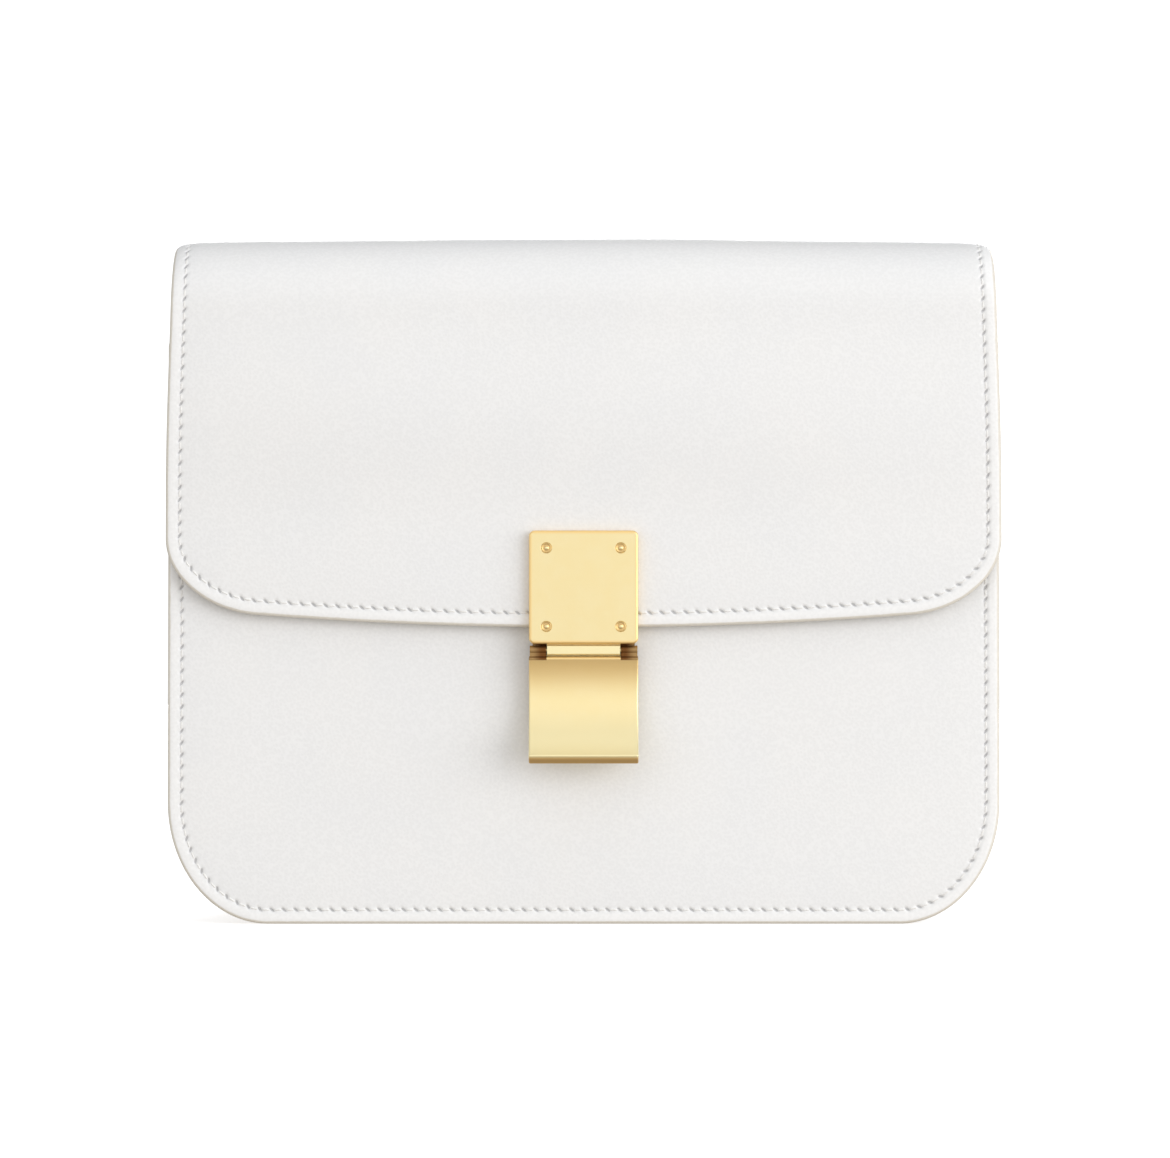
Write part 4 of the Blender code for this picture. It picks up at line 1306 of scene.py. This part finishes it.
# %% [markdown]
# ## Floor, light and camera
#
# The photograph is a catalogue shot: pale paper with no visible horizon, and soft white light from all
# over the front, a little more of it from the right. The paper is a shallow dish, turned like a bowl, so
# that it has no horizon from any side. It glows a little, as paper with its own lamps does. The room is a
# graded sky: white in front, dimmer behind and overhead, and dim and warm below, which stands for the light
# that the paper returns. So the dish itself is left out of the reflections and shadows. Three soft boxes
# add to it: the key from the right, one that lights the back, and a weak one over the lever's tip.

# %% Floor
FLOOR_RADIUS = 2.6
SWEEP_RADIUS = 1.2
SWEEP_HEIGHT = 5.0
PAPER = (0.90, 0.90, 0.90, 1)
PAPER_GLOW = 0.50
line = [(0.0, 0.0), (FLOOR_RADIUS, 0.0)]
for turn in np.radians(np.linspace(0, 90, 17)[1:]):
    line.append((FLOOR_RADIUS + SWEEP_RADIUS * math.sin(turn), SWEEP_RADIUS * (1 - math.cos(turn))))
line.append((FLOOR_RADIUS + SWEEP_RADIUS, SWEEP_HEIGHT))
mesh = bpy.data.meshes.new("paper_dish")
mesh.from_pydata([(r, 0, z) for r, z in line], [(i, i + 1) for i in range(len(line) - 1)], [])
sweep = add_object("paper_dish", mesh)
turned = sweep.modifiers.new("turned", "SCREW")
turned.steps = turned.render_steps = 64
turned.use_merge_vertices = True
settle(sweep)
sweep.data.shade_smooth()
paper = Finish("white_paper")
paper.set(base_color=PAPER, roughness=0.9)
paper.shader.inputs["Emission Color"].default_value = (1, 1, 1, 1)
paper.shader.inputs["Emission Strength"].default_value = PAPER_GLOW
sweep.data.materials.append(paper.material)
for way in ("visible_diffuse", "visible_glossy", "visible_transmission", "visible_shadow"):
    setattr(sweep, way, False)
sweep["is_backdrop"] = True
print("paper:", len(sweep.data.polygons), "faces")

# %% The white room
BELOW = 0.47
BEHIND = 0.50
FRONT = 1.07
ZENITH = 0.73
HORIZON = (-0.50, 0.10)  # heights over which the room turns from floor to sky
REAR = (-0.7, 0.3)
OVERHEAD = (0.30, 0.95)
WARM = (1.0, 0.91, 0.81, 1)
COOL = (0.985, 0.99, 1.0, 1)
room = Finish("white_room", bpy.data.worlds, "Background")
direction = room.node("ShaderNodeTexCoord", output="Generated")
toward = room.node("ShaderNodeSeparateXYZ", None, {0: direction}).socket.node
above = Value(room, toward.outputs[2]).step(*HORIZON)
ahead = 1 - Value(room, toward.outputs[1]).step(*REAR)
overhead = Value(room, toward.outputs[2]).step(*OVERHEAD)
sky = (BEHIND + ahead * (FRONT - BEHIND)) * (1 - overhead * (1 - ZENITH))
room.set(color=room.mix(above, WARM, COOL), strength=BELOW + above * (sky - BELOW))
bpy.context.scene.world = room.material
bpy.context.scene.view_settings.view_transform = "Standard"


# %% Lights
TARGET = Vector((0, 0, 0.10))
SOFT_BOXES = (  # name, place, width and height, power in watts
    ("key", (1.95, -1.35, 0.45), (2.2, 1.6), 28.0),
    ("rear", (0.4, 2.20, 0.50), (1.6, 1.1), 26.0),
    ("top", (0.0, -0.45, 1.70), (0.9, 0.7), 1.0),
)
for name, place, size, power in SOFT_BOXES:
    light = bpy.data.lights.new(name, "AREA")
    light.shape = "RECTANGLE"
    light.size, light.size_y = size
    light.energy = power
    lamp = add_object(name, light)
    lamp.location = place
    lamp.visible_camera = False
    lamp.rotation_euler = (TARGET - Vector(place)).to_track_quat("-Z", "Y").to_euler()
print("soft boxes:", ", ".join(name for name, *_ in SOFT_BOXES))

# %% Camera
FRAME_WIDTH = 1170
PIXEL = 0.28674 * MM  # at the flap's face
EYE_ASIDE = 0.0004
EYE_HEIGHT = 0.0991
EYE_DISTANCE = 1.40
camera_data = bpy.data.cameras.new("camera")
camera_data.sensor_width = 36.0
camera_data.sensor_fit = "HORIZONTAL"
camera_data.lens = camera_data.sensor_width * EYE_DISTANCE / (FRAME_WIDTH * PIXEL)
camera_data.clip_end = 20
camera = add_object("camera", camera_data)
camera.location = (EYE_ASIDE, flap_face - EYE_DISTANCE, EYE_HEIGHT)
camera.rotation_euler = (math.radians(90), 0, 0)
bpy.context.scene.camera = camera
print(f"lens {camera_data.lens:.0f} mm at {EYE_DISTANCE} m")

# %% [markdown]
# ## The box, and the end
#
# Both boxes, the imported model's and the visual model's, are printed. The visual model has to stay inside
# the imported model's box.

# %% The two boxes
new_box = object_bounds()
boxes = {"cad": [list(map(float, corner)) for corner in cad_box], "visual": [list(map(float, corner)) for corner in new_box]}
for title, box in boxes.items():
    print(title, [[round(value * 1000, 2) for value in corner] for corner in box])
